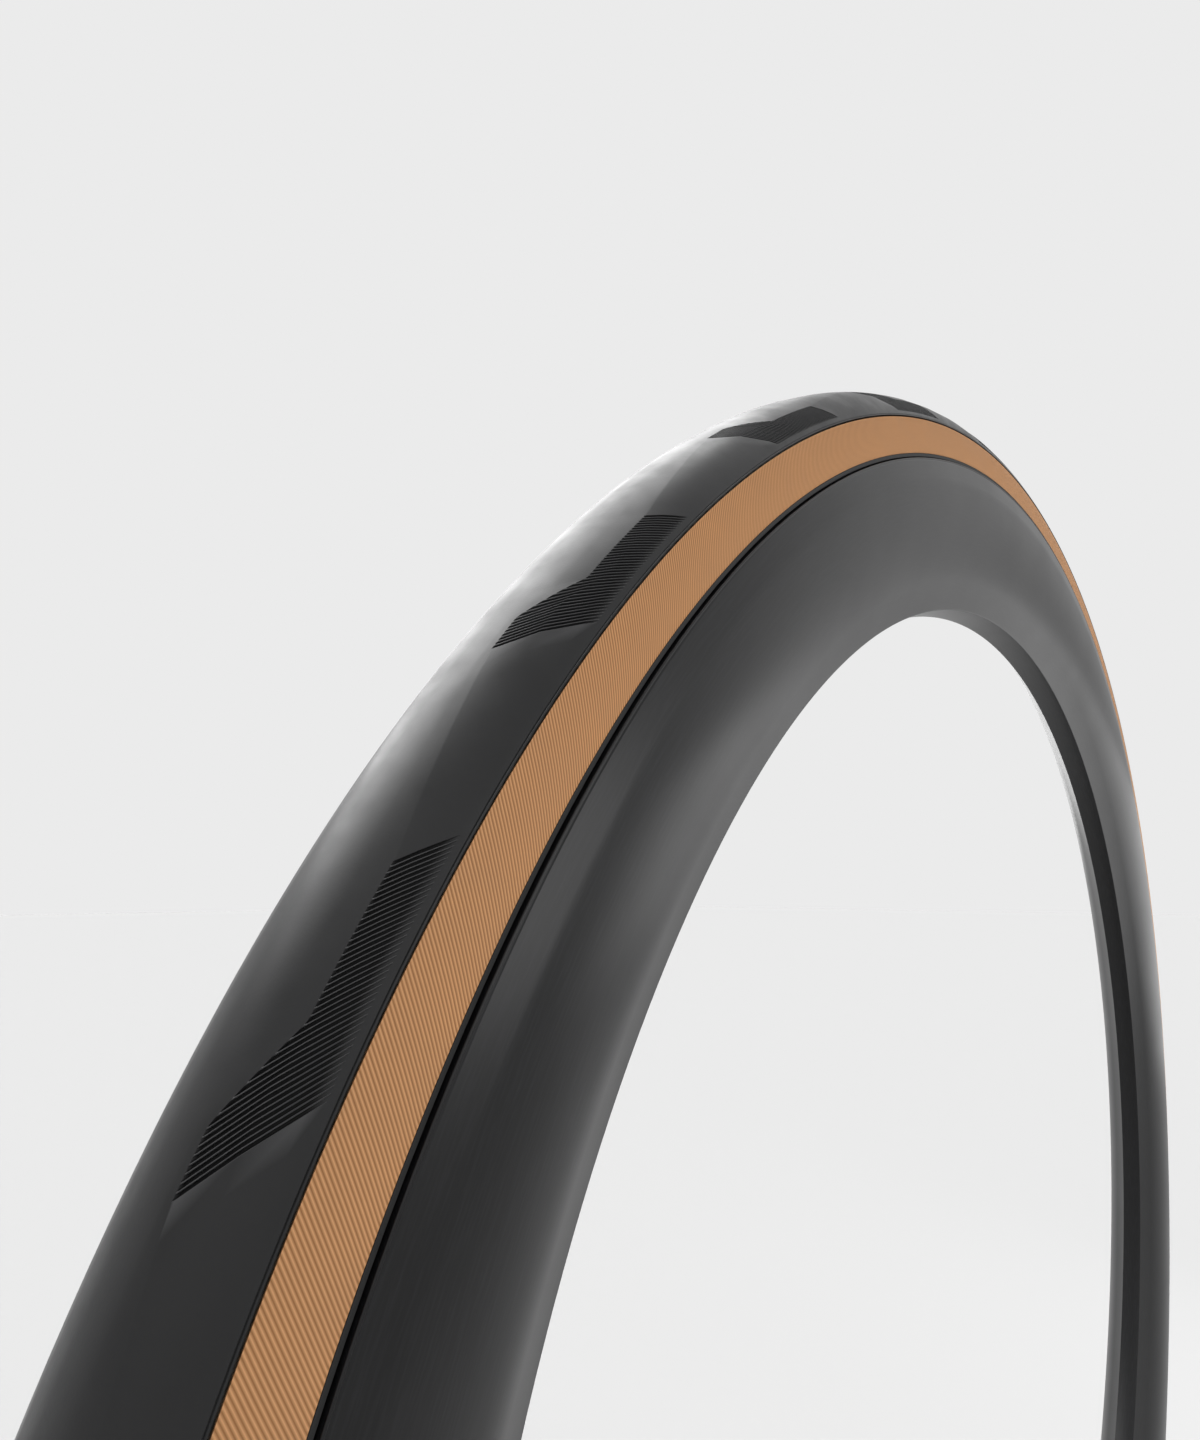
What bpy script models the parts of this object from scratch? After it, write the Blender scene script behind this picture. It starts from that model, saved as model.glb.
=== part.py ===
"""Tubeless-ready road tyre, size 28-622, mounted and inflated on a deep hollow rim with its valve.

The wheel's centre is the origin and its axle is +Y. The valve is at the bottom and points at the centre.
Sections are drawn as (radius, side) points: radius from the axle, side along it.
"""

import math

import bpy

MM = 0.001

# Rings share one segment count, so that nested layers keep an even gap and have a flat facet at the bottom.
RING_SEGMENTS = 36
VALVE_SEGMENTS = 12

# Tyre outside; its section keeps its proportions if its height changes
BEAD_SEAT_RADIUS = 311.0 * MM
TYRE_HEIGHT = 28.0 * MM
CROWN_ARC_RADIUS = 0.526 * TYRE_HEIGHT
TREAD_EDGE_ANGLE = math.radians(72.0)
TREAD_EDGE_GROOVE = 0.35 * MM
SIDEWALL_STEP = 0.2 * MM
SIDEWALL_ARC_RADIUS = 0.8714 * TYRE_HEIGHT
SIDEWALL_WIDTH = 0.3429 * TYRE_HEIGHT

# Tyre layers
TREAD_CROWN_THICKNESS = 2.2 * MM
TREAD_EDGE_THICKNESS = 0.6 * MM
BELT_THICKNESS = 0.4 * MM
BELT_HALF_ANGLE = math.radians(38.0)
CASING_THICKNESS = 0.5 * MM
SIDEWALL_THICKNESS = 0.5 * MM
CHAFER_THICKNESS = 0.45 * MM
CHAFER_SHOWING = 0.6 * MM
LAYER_GAP = 0.1 * MM

# Beads
BEAD_CORE_RADIUS = 1.3 * MM
BEAD_CLEARANCE = 0.2 * MM
TURN_UP_HEIGHT = 1.0 * MM
NECK_RISE = 0.8 * MM
NECK_INSET = 1.3 * MM

# Rim; its bed and flanges are in proportion to the tyre that they hold
RIM_INNER_WIDTH = 0.8929 * TYRE_HEIGHT
FLANGE_HEIGHT = 0.2107 * TYRE_HEIGHT
BEAD_SEAT_WIDTH = 0.175 * TYRE_HEIGHT
CHANNEL_SLOPE_WIDTH = 0.0714 * TYRE_HEIGHT
CHANNEL_DEPTH = 5.0 * MM
FLANGE_ROUND = 0.7 * MM
FLANGE_WIDTH = 2.88 * MM
RIM_BULGE = 0.8 * MM
RIM_WIDEST_BELOW_FLANGE = 5.6 * MM
RIM_DEPTH = 40.8 * MM
FLANK_ROUNDNESS = 0.94
RIM_NOSE_WIDTH = 8.5 * MM
RIM_NOSE_ROUND = 0.6 * MM
RIM_NOSE_ROUND_SIDE = 0.45 * MM
RIM_WALL = 1.8 * MM
RIM_BED_WALL = 2.0 * MM
RIM_NOSE_WALL = 2.6 * MM
TAPE_THICKNESS = 0.3 * MM
TAPE_EDGE_DROP = 0.9 * MM

# Valve
STEM_RADIUS = 3.0 * MM
STEM_TIP_RADIUS = 2.6 * MM
STEM_BORE_RADIUS = 2.1 * MM
STEM_ABOVE_NOSE = 20.0 * MM
STEM_TIP_LENGTH = 5.5 * MM
STEM_HOLE_CLEARANCE = 0.3 * MM
FOOT_RADIUS = 4.4 * MM
FOOT_HEIGHT = 2.4 * MM
GASKET_RADIUS = 4.6 * MM
GASKET_THICKNESS = 1.5 * MM
O_RING_RADIUS = 4.7 * MM
O_RING_THICKNESS = 1.7 * MM
O_RING_ROUND = 0.4 * MM
LOCK_NUT_RADIUS = 5.6 * MM
LOCK_NUT_HEIGHT = 4.0 * MM
LOCK_NUT_COLLAR_RADIUS = 4.6 * MM
LOCK_NUT_COLLAR_HEIGHT = 1.2 * MM
THREAD_CLEARANCE = 0.15 * MM
SEAT_GAP = 0.1 * MM
CORE_LENGTH_IN_STEM = 14.0 * MM
CORE_HEAD_RADIUS = 2.3 * MM
CORE_HEAD_HEIGHT = 3.6 * MM
CORE_BORE_RADIUS = 1.0 * MM
PIN_RADIUS = 0.7 * MM
PIN_HEAD_RADIUS = 1.15 * MM
PIN_HEAD_LENGTH = 1.0 * MM
PIN_ABOVE_NUT = 0.5 * MM
SEAL_LENGTH = 2.6 * MM
CORE_NUT_RADIUS = 1.9 * MM
CORE_NUT_HEIGHT = 2.8 * MM
CORE_NUT_ROUND = 0.4 * MM
CORE_NUT_TRAVEL = 3.0 * MM
CAP_WALL = 0.95 * MM
CAP_HEADROOM = 0.8 * MM
CAP_TOP_ROUND = 1.4 * MM

# Worked out from the sizes above
OUTER_RADIUS = BEAD_SEAT_RADIUS + TYRE_HEIGHT
CROWN_CENTRE = OUTER_RADIUS - CROWN_ARC_RADIUS
RIM_HALF_INNER = RIM_INNER_WIDTH / 2
FLANGE_RADIUS = BEAD_SEAT_RADIUS + FLANGE_HEIGHT
NOSE_RADIUS = FLANGE_RADIUS - RIM_DEPTH
CHANNEL_RADIUS = BEAD_SEAT_RADIUS - CHANNEL_DEPTH
CHANNEL_HALF_TOP = RIM_HALF_INNER - BEAD_SEAT_WIDTH
CHANNEL_HALF_BOTTOM = CHANNEL_HALF_TOP - CHANNEL_SLOPE_WIDTH
NOSE_CORNER = (NOSE_RADIUS + RIM_NOSE_ROUND, RIM_NOSE_WIDTH / 2 + RIM_NOSE_ROUND_SIDE)
FLANK_TOP = (FLANGE_RADIUS - FLANGE_ROUND, RIM_HALF_INNER + FLANGE_WIDTH)
RIM_WIDEST = (FLANGE_RADIUS - RIM_WIDEST_BELOW_FLANGE, FLANK_TOP[1] + RIM_BULGE)
HOOK_RADIUS = BEAD_CORE_RADIUS + LAYER_GAP + CASING_THICKNESS / 2
BEAD_WRAP = CHAFER_THICKNESS + LAYER_GAP + CASING_THICKNESS / 2 + HOOK_RADIUS
BEAD_CENTRE = (
    BEAD_SEAT_RADIUS + BEAD_CLEARANCE + BEAD_WRAP,
    RIM_HALF_INNER - BEAD_CLEARANCE - BEAD_WRAP,
)


def facet(radius):
    """Distance from the axle to the middle of a ring's flat facet."""
    return radius * math.cos(math.pi / RING_SEGMENTS)


def on_arc(centre, arc_radius, angle):
    """A point of an arc; the angle starts at the outward radius and grows towards +side."""
    return (centre[0] + arc_radius * math.cos(angle), centre[1] + arc_radius * math.sin(angle))


def arc(centre, arc_radius, start, end, count):
    """Evenly spaced points of an arc, both ends among them."""
    angles = [start + (end - start) * step / (count - 1) for step in range(count)]
    return [on_arc(centre, arc_radius, angle) for angle in angles]


def mirrored(points):
    """The same points on the other side of the wheel's middle plane, in reverse order."""
    return [(radius, -side) for radius, side in reversed(points)]


def unit_normal(start, end):
    """The unit normal on the right of the way from start to end."""
    along = (end[0] - start[0], end[1] - start[1])
    length = math.hypot(*along)
    return (along[1] / length, -along[0] / length)


def offset(path, distance):
    """The path moved sideways: to the right of the way it runs, or to the left if negative."""
    normals = [unit_normal(start, end) for start, end in zip(path, path[1:])]
    moved = []
    for (radius, side), first, second in zip(path, normals[:1] + normals, normals + normals[-1:]):
        bisector = (first[0] + second[0], first[1] + second[1])
        scale = 2 * distance / (bisector[0] ** 2 + bisector[1] ** 2)
        moved.append((radius + bisector[0] * scale, side + bisector[1] * scale))
    return moved


def band(path, low, high):
    """Closed section of a layer that follows a path, between two sideways distances."""
    return offset(path, high) + list(reversed(offset(path, low)))


def in_turning_order(loop, cavity=False):
    """The loop in the order whose turned faces point out of the piece, or out of it into a cavity."""
    area = sum(x0 * y1 - x1 * y0 for (x0, y0), (x1, y1) in zip(loop, loop[1:] + loop[:1]))
    return loop if (area < 0) != cavity else list(reversed(loop))


def surface(name, colour, roughness, metallic):
    """A plain material for one sub-part."""
    material = bpy.data.materials.new(name)
    material.use_nodes = True
    shader = material.node_tree.nodes["Principled BSDF"]
    shader.inputs["Base Color"].default_value = (*colour, 1.0)
    shader.inputs["Roughness"].default_value = roughness
    shader.inputs["Metallic"].default_value = metallic
    return material


RUBBER = ((0.02, 0.02, 0.021), 0.55, 0.0)
TAN_RUBBER = ((0.50, 0.26, 0.12), 0.6, 0.0)
SOFT_RUBBER = ((0.03, 0.03, 0.03), 0.7, 0.0)
CASING_FABRIC = ((0.10, 0.08, 0.06), 0.8, 0.0)
ARAMID = ((0.55, 0.40, 0.12), 0.8, 0.0)
SATIN_COMPOSITE = ((0.03, 0.03, 0.032), 0.4, 0.0)
TAPE_FILM = ((0.45, 0.42, 0.12), 0.4, 0.0)
BLACK_ALLOY = ((0.03, 0.03, 0.03), 0.35, 0.9)
BRASS = ((0.70, 0.55, 0.28), 0.3, 1.0)
CAP_PLASTIC = ((0.02, 0.02, 0.02), 0.5, 0.0)


def collection_named(name):
    made = bpy.data.collections.new(name)
    bpy.context.scene.collection.children.link(made)
    return made


def add_object(name, mesh, collection):
    made = bpy.data.objects.new(name, mesh)
    collection.objects.link(made)
    return made


def add_empty(name, height, collection):
    """A reference point on the wheel's middle line, at a height over the axle."""
    made = add_object(name, None, collection)
    made.location = (0.0, 0.0, height)
    return made


def spin(made, axis, segments):
    """Turns an object's profile one full turn about its own axis."""
    screw = made.modifiers.new("Turn", "SCREW")
    screw.axis = axis
    screw.angle = 2 * math.pi
    screw.steps = segments
    screw.render_steps = segments
    screw.use_merge_vertices = True
    screw.merge_threshold = 0.00001
    screw.use_smooth_shade = True


def outline_mesh(name, outlines, closed, place):
    """A mesh of outlines without faces, each point put in space by a function."""
    points = []
    edges = []
    for outline in outlines:
        start = len(points)
        count = len(outline)
        points += [place(*point) for point in outline]
        edges += [(start + i, start + (i + 1) % count) for i in range(count if closed else count - 1)]
    mesh = bpy.data.meshes.new(name)
    mesh.from_pydata(points, edges, [])
    return mesh


def ring(name, section, collection, finish, hollow=None):
    """A ring about the axle from its closed section, with a closed hollow inside it if one is given."""
    half_step = math.pi / RING_SEGMENTS
    loops = [in_turning_order(section)]
    if hollow:
        loops.append(in_turning_order(hollow, cavity=True))

    def place(radius, side):
        return (radius * math.cos(half_step), side, radius * math.sin(half_step))

    made = add_object(name, outline_mesh(name, loops, True, place), collection)
    made.data.materials.append(surface(name, *finish))
    spin(made, "Y", RING_SEGMENTS)
    return made


def valve_piece(name, outline, height, valve, finish, bored=True):
    """A round piece on the valve's axis, its outline as (distance from the axis, height in the piece).

    A bored piece has a closed outline. One with no bore starts and ends on the axis, top first.
    """
    outlines = [in_turning_order(outline)] if bored else [outline]
    mesh = outline_mesh(name, outlines, bored, lambda out, up: (out, 0.0, up))
    made = add_object(name, mesh, valve.users_collection[0])
    made.data.materials.append(surface(name, *finish))
    made.parent = valve
    made.location = (0.0, 0.0, height)
    spin(made, "Z", VALVE_SEGMENTS)
    return made


def cut(made, cutter):
    boolean = made.modifiers.new("Cut " + cutter.name, "BOOLEAN")
    boolean.operation = "DIFFERENCE"
    boolean.solver = "EXACT"
    boolean.object = cutter


def tread_inner_arc():
    """Centre, radius and end angle of the arc under the tread, from its thickness at crown and edge."""
    crown = OUTER_RADIUS - TREAD_CROWN_THICKNESS
    edge = on_arc((CROWN_CENTRE, 0.0), CROWN_ARC_RADIUS - TREAD_EDGE_THICKNESS, TREAD_EDGE_ANGLE)
    centre = (crown + edge[0]) / 2 - edge[1] ** 2 / (2 * (crown - edge[0]))
    return (centre, 0.0), crown - centre, math.atan2(edge[1], edge[0] - centre)


def belt_angles():
    """Section angles across the belt: an even number, so that the crown itself is a flat facet."""
    return [BELT_HALF_ANGLE * share for share in (-1.0, -0.6, -0.2, 0.2, 0.6, 1.0)]


def tread_section():
    """Crown arc outside; inside, the arc that lies on the casing, with a recess that holds the belt."""
    centre, radius, end = tread_inner_arc()
    recess_radius = radius + BELT_THICKNESS + LAYER_GAP
    recess_end = BELT_HALF_ANGLE + LAYER_GAP / radius
    angles = belt_angles()
    recess_angles = [-recess_end] + angles[1:-1] + [recess_end]
    recess = [on_arc(centre, recess_radius, angle) for angle in recess_angles]
    shoulder = arc(centre, radius, recess_end, end, 3)
    outside = arc((CROWN_CENTRE, 0.0), CROWN_ARC_RADIUS, -TREAD_EDGE_ANGLE, TREAD_EDGE_ANGLE, 10)
    return outside + list(reversed(mirrored(shoulder) + recess + shoulder))


def belt_section():
    centre, radius, _ = tread_inner_arc()
    under = [on_arc(centre, radius, angle) for angle in belt_angles()]
    over = [on_arc(centre, radius + BELT_THICKNESS, angle) for angle in belt_angles()]
    return over + list(reversed(under))


def sidewall_arc():
    """Centre, first angle and last angle of the arc along the outside of the tan sidewall."""
    first = TREAD_EDGE_ANGLE + TREAD_EDGE_GROOVE / CROWN_ARC_RADIUS
    start = on_arc((CROWN_CENTRE, 0.0), CROWN_ARC_RADIUS - SIDEWALL_STEP, first)
    centre = on_arc(start, -SIDEWALL_ARC_RADIUS, first)
    return centre, first, first + SIDEWALL_WIDTH / SIDEWALL_ARC_RADIUS


def sidewall_section():
    centre, first, last = sidewall_arc()
    outside = arc(centre, SIDEWALL_ARC_RADIUS, first, last, 4)
    inside = arc(centre, SIDEWALL_ARC_RADIUS - SIDEWALL_THICKNESS, first, last, 4)
    return outside + list(reversed(inside))


def casing_path():
    """Middle of the ply from the crown down one side, in under the bead core and up outside it."""
    centre, radius, end = tread_inner_arc()
    ply_radius = radius - LAYER_GAP - CASING_THICKNESS / 2
    crown_angles = belt_angles()[3:] + [(BELT_HALF_ANGLE + end) / 2]
    crown = [on_arc(centre, ply_radius, angle) for angle in crown_angles]
    side_centre, first, last = sidewall_arc()
    side_radius = SIDEWALL_ARC_RADIUS - SIDEWALL_THICKNESS - LAYER_GAP - CASING_THICKNESS / 2
    side = arc(side_centre, side_radius, first, last, 2)
    neck = (FLANGE_RADIUS + NECK_RISE, RIM_HALF_INNER - NECK_INSET)
    hook = [on_arc(BEAD_CENTRE, HOOK_RADIUS, math.radians(angle)) for angle in (300, 240, 180, 120, 60)]
    turn_up = (hook[-1][0] + TURN_UP_HEIGHT, hook[-1][1])
    return crown + side + [neck] + hook + [turn_up]


def casing_section():
    half = casing_path()
    path = mirrored(half) + half
    return band(path, -CASING_THICKNESS / 2, CASING_THICKNESS / 2)


def bead_core_section():
    return [on_arc(BEAD_CENTRE, BEAD_CORE_RADIUS, math.radians(angle)) for angle in range(0, 360, 60)]


def chafer_section():
    """Strip from the sidewall's lower edge over the flange, down its inner face and under the bead."""
    centre, _, last = sidewall_arc()
    top_angle = last + LAYER_GAP / SIDEWALL_ARC_RADIUS
    top = on_arc(centre, SIDEWALL_ARC_RADIUS, top_angle)
    shown = on_arc(centre, SIDEWALL_ARC_RADIUS, top_angle + CHAFER_SHOWING / SIDEWALL_ARC_RADIUS)
    outer_side = RIM_HALF_INNER - BEAD_CLEARANCE
    path = [
        top,
        shown,
        (FLANGE_RADIUS + 2 * BEAD_CLEARANCE, RIM_HALF_INNER + 2 * FLANGE_ROUND),
        (FLANGE_RADIUS + BEAD_CLEARANCE, RIM_HALF_INNER + FLANGE_ROUND / 2),
        (FLANGE_RADIUS - FLANGE_ROUND, outer_side),
        (BEAD_SEAT_RADIUS + BEAD_CLEARANCE, outer_side),
        (BEAD_SEAT_RADIUS + BEAD_CLEARANCE, BEAD_CENTRE[1] - HOOK_RADIUS),
    ]
    return band(path, -CHAFER_THICKNESS, 0.0)


def arc_radius_to(point):
    """Radius of the arc that runs straight up or down from the rim's widest place and then bends in to a point."""
    down = RIM_WIDEST[0] - point[0]
    inward = RIM_WIDEST[1] - point[1]
    return (down**2 + inward**2) / (2 * inward)


def flank_low_arc():
    """Radius and end angle of the arc from the widest place down to the straight that runs to the nose.

    A roundness of 1 bends all the way to the nose's corner; less of it leaves a straight before the corner.
    """
    radius = FLANK_ROUNDNESS * arc_radius_to(NOSE_CORNER)
    across = (NOSE_CORNER[0] - RIM_WIDEST[0], NOSE_CORNER[1] - RIM_WIDEST[1] + radius)
    tangent = math.acos(radius / math.hypot(*across))
    return radius, math.atan2(across[1], across[0]) - tangent


def flank(inset, top_radius, low_count, high_count):
    """Points of the flank from the nose's end up to a radius, a distance inside the rim's outside."""
    low_radius, low = flank_low_arc()
    high_radius = arc_radius_to(FLANK_TOP)
    high = math.acos((FLANK_TOP[0] - RIM_WIDEST[0]) / (high_radius - inset))
    low_centre = (RIM_WIDEST[0], RIM_WIDEST[1] - low_radius)
    high_centre = (RIM_WIDEST[0], RIM_WIDEST[1] - high_radius)
    lower = arc(low_centre, low_radius - inset, low, math.pi / 2, low_count)
    upper = arc(high_centre, high_radius - inset, math.pi / 2, high, high_count)
    return up_to(lower + upper[1:], top_radius)


def up_to(points, radius):
    """The points of a rising line, ended where it reaches a radius."""
    kept = []
    for point, after in zip(points, points[1:]):
        kept.append(point)
        if after[0] >= radius:
            share = (radius - point[0]) / (after[0] - point[0])
            return [*kept, (radius, point[1] + share * (after[1] - point[1]))]
    return points


def rim_section():
    """Outside of the rim: nose, flanks, flanges, bead seats and drop channel."""
    half = [
        (NOSE_RADIUS, RIM_NOSE_WIDTH / 2),
        NOSE_CORNER,
        *flank(0.0, FLANK_TOP[0], 4, 3),
        (FLANGE_RADIUS, FLANK_TOP[1] - FLANGE_ROUND),
        (FLANGE_RADIUS, RIM_HALF_INNER + FLANGE_ROUND),
        (FLANGE_RADIUS - FLANGE_ROUND, RIM_HALF_INNER),
        (BEAD_SEAT_RADIUS, RIM_HALF_INNER),
        (BEAD_SEAT_RADIUS, CHANNEL_HALF_TOP),
        (CHANNEL_RADIUS, CHANNEL_HALF_BOTTOM),
    ]
    return half + mirrored(half)


def rim_hollow():
    """Chamber between the bed and the nose, one wall's thickness inside the rim's outside."""
    roof = BEAD_SEAT_RADIUS - RIM_BED_WALL
    half = [
        (NOSE_RADIUS + RIM_NOSE_WALL, RIM_NOSE_WIDTH / 2 - RIM_NOSE_ROUND_SIDE),
        *flank(RIM_WALL, roof, 3, 2),
        (roof, CHANNEL_HALF_TOP + RIM_BED_WALL / 2),
        (CHANNEL_RADIUS - RIM_BED_WALL, CHANNEL_HALF_BOTTOM + RIM_BED_WALL / 2),
    ]
    return half + mirrored(half)


def tape_section():
    """Film along the drop channel, its edges a little below the channel's shoulders."""
    edge_radius = BEAD_SEAT_RADIUS - TAPE_EDGE_DROP
    slope = CHANNEL_SLOPE_WIDTH / CHANNEL_DEPTH
    edge = (edge_radius, CHANNEL_HALF_TOP - TAPE_EDGE_DROP * slope)
    half = [(CHANNEL_RADIUS, CHANNEL_HALF_BOTTOM), edge]
    return band(mirrored(half) + half, LAYER_GAP, LAYER_GAP + TAPE_THICKNESS)


def add_tyre(collection):
    ring("tread", tread_section(), collection, RUBBER)
    ring("puncture_belt", belt_section(), collection, ARAMID)
    ring("casing_ply", casing_section(), collection, CASING_FABRIC)
    for side, turn in (("right", list), ("left", mirrored)):
        ring("sidewall_" + side, turn(sidewall_section()), collection, TAN_RUBBER)
        ring("chafer_" + side, turn(chafer_section()), collection, SOFT_RUBBER)
        ring("bead_core_" + side, turn(bead_core_section()), collection, ARAMID)


def add_rim(collection, cutters):
    rim = ring("rim", rim_section(), collection, SATIN_COMPOSITE, hollow=rim_hollow())
    tape = ring("rim_tape", tape_section(), collection, TAPE_FILM)
    bpy.ops.mesh.primitive_cylinder_add(
        vertices=VALVE_SEGMENTS,
        radius=STEM_RADIUS + STEM_HOLE_CLEARANCE,
        depth=BEAD_SEAT_RADIUS - NOSE_RADIUS + 2 * RIM_NOSE_WALL,
        location=(0.0, 0.0, -(BEAD_SEAT_RADIUS + NOSE_RADIUS) / 2),
    )
    drill = bpy.context.object
    drill.name = "valve_hole"
    drill.hide_render = True
    drill.display_type = "WIRE"
    for holder in drill.users_collection:
        holder.objects.unlink(drill)
    cutters.objects.link(drill)
    cut(rim, drill)
    cut(tape, drill)


def ring_outline(bore, radius, height, chamfer):
    """A ring's closed outline with its two outer edges chamfered."""
    return [
        (bore, 0.0),
        (radius - chamfer, 0.0),
        (radius, chamfer),
        (radius, height - chamfer),
        (radius - chamfer, height),
        (bore, height),
    ]


def add_stem(valve, nose):
    """The stem with its foot in the drop channel, and the seals and nut that hold it. Heights start at the nose."""
    tape_top = nose - facet(CHANNEL_RADIUS + LAYER_GAP + TAPE_THICKNESS)
    gasket = tape_top - SEAT_GAP - GASKET_THICKNESS
    foot = gasket - SEAT_GAP - FOOT_HEIGHT
    top = STEM_ABOVE_NOSE - foot
    shoulder = top - STEM_TIP_LENGTH
    round_over = STEM_RADIUS - STEM_TIP_RADIUS
    stem = [
        (STEM_BORE_RADIUS, 0.0),
        (FOOT_RADIUS, 0.0),
        (FOOT_RADIUS, FOOT_HEIGHT),
        (STEM_RADIUS, FOOT_HEIGHT),
        (STEM_RADIUS, shoulder - round_over),
        (STEM_TIP_RADIUS, shoulder),
        (STEM_TIP_RADIUS, top),
        (STEM_BORE_RADIUS, top),
    ]
    bore = STEM_RADIUS + THREAD_CLEARANCE
    gasket_ring = ring_outline(bore, GASKET_RADIUS, GASKET_THICKNESS, O_RING_ROUND)
    o_ring = ring_outline(bore, O_RING_RADIUS, O_RING_THICKNESS, O_RING_ROUND)
    nut = [
        (bore, 0.0),
        (LOCK_NUT_COLLAR_RADIUS, 0.0),
        (LOCK_NUT_COLLAR_RADIUS, LOCK_NUT_COLLAR_HEIGHT),
        (LOCK_NUT_RADIUS, LOCK_NUT_COLLAR_HEIGHT),
        (LOCK_NUT_RADIUS, LOCK_NUT_HEIGHT),
        (bore, LOCK_NUT_HEIGHT),
    ]
    valve_piece("valve_stem", stem, foot, valve, BLACK_ALLOY)
    valve_piece("valve_gasket", gasket_ring, gasket, valve, SOFT_RUBBER)
    valve_piece("valve_o_ring", o_ring, SEAT_GAP, valve, SOFT_RUBBER)
    valve_piece("valve_lock_nut", nut, 2 * SEAT_GAP + O_RING_THICKNESS, valve, BLACK_ALLOY)


def add_core(valve):
    """The needle valve in the stem's top and the cap over it. Heights start at the nose."""
    core = STEM_ABOVE_NOSE - CORE_LENGTH_IN_STEM
    head = CORE_LENGTH_IN_STEM + SEAT_GAP
    core_top = head + CORE_HEAD_HEIGHT
    body_radius = STEM_BORE_RADIUS - THREAD_CLEARANCE
    body = [
        (CORE_BORE_RADIUS, 0.0),
        (body_radius, 0.0),
        (body_radius, head),
        (CORE_HEAD_RADIUS, head),
        (CORE_HEAD_RADIUS, core_top),
        (CORE_BORE_RADIUS, core_top),
    ]
    seal = core - SEAT_GAP - SEAL_LENGTH
    pin_bore = PIN_RADIUS + THREAD_CLEARANCE
    seal_ring = ring_outline(pin_bore, body_radius, SEAL_LENGTH, O_RING_ROUND)
    pin = seal - SEAT_GAP - PIN_HEAD_LENGTH
    nut = core + core_top + SEAT_GAP
    pin_top = nut + CORE_NUT_HEIGHT + CORE_NUT_TRAVEL + PIN_ABOVE_NUT
    needle = [
        (0.0, pin_top - pin),
        (PIN_RADIUS, pin_top - pin),
        (PIN_RADIUS, PIN_HEAD_LENGTH),
        (PIN_HEAD_RADIUS, PIN_HEAD_LENGTH),
        (PIN_HEAD_RADIUS, 0.0),
        (0.0, 0.0),
    ]
    nut_ring = ring_outline(pin_bore, CORE_NUT_RADIUS, CORE_NUT_HEIGHT, CORE_NUT_ROUND)
    cap = STEM_ABOVE_NOSE - STEM_TIP_LENGTH + SEAT_GAP
    cap_bore = STEM_TIP_RADIUS + THREAD_CLEARANCE
    cap_radius = cap_bore + CAP_WALL
    ceiling = pin_top + CAP_HEADROOM - cap
    cap_top = ceiling + CAP_WALL
    shell = [
        (0.0, cap_top),
        (cap_radius - CAP_TOP_ROUND, cap_top),
        (cap_radius, cap_top - CAP_TOP_ROUND),
        (cap_radius, 0.0),
        (cap_bore, 0.0),
        (cap_bore, ceiling),
        (0.0, ceiling),
    ]
    valve_piece("valve_core", body, core, valve, BRASS)
    valve_piece("core_seal", seal_ring, seal, valve, SOFT_RUBBER)
    valve_piece("core_pin", needle, pin, valve, BRASS, bored=False)
    valve_piece("core_nut", nut_ring, nut, valve, BRASS)
    valve_piece("valve_cap", shell, cap, valve, CAP_PLASTIC, bored=False)


def main():
    for old in list(bpy.data.objects):
        bpy.data.objects.remove(old, do_unlink=True)
    parts = collection_named("road_tyre_on_rim")
    cutters = collection_named("cutters")
    cutters.hide_render = True
    add_tyre(parts)
    add_rim(parts, cutters)
    nose = facet(NOSE_RADIUS)
    valve = add_empty("valve_axis", -nose, parts)
    add_stem(valve, nose)
    add_core(valve)


main()
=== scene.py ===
"""Looks of a road tyre on its deep rim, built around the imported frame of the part.

The wheel's centre is the origin and its axle is Y. Sections are drawn as (radius, side) points: radius from
the axle, side along it. The valve is at the bottom and its axis is Z.
"""

import math

import bmesh
import bpy
from bpy.props import FloatProperty, FloatVectorProperty, IntProperty, PointerProperty
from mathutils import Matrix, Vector


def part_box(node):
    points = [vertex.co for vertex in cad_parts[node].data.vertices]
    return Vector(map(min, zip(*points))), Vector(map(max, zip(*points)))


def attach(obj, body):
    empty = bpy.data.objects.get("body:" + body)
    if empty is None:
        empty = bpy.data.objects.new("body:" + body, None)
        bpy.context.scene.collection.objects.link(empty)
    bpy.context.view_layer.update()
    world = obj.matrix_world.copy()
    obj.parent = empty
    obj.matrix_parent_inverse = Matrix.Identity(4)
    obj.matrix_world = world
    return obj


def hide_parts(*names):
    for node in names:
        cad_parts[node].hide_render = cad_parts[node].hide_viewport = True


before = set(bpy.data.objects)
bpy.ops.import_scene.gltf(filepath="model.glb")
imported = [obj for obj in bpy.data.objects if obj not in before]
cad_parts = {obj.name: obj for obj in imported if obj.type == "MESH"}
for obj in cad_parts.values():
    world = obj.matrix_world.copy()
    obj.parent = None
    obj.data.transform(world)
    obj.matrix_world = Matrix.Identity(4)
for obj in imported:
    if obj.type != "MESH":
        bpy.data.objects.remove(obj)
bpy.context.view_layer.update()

bl_info = {
    "name": "Road tyre on a deep rim",
    "version": (1, 0, 0),
    "blender": (4, 5, 0),
    "location": "3D View > Sidebar > Road tyre",
    "description": "Builds the looks of a tan-sided road tyre, its rim and its valve around a packed frame",
    "category": "Add Mesh",
}

MM = 0.001
RING_STEPS = 360
HIDDEN_STEPS = 144
VALVE_STEPS = 32
BEAD_SIDES = 16
MERGE_DISTANCE = 2e-6
SAME_RADIUS = 1e-5
ROUNDING = 1e-9
AXLE = (0.0, 1.0, 0.0)
VALVE_AXIS = (0.0, 0.0, 1.0)

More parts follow.
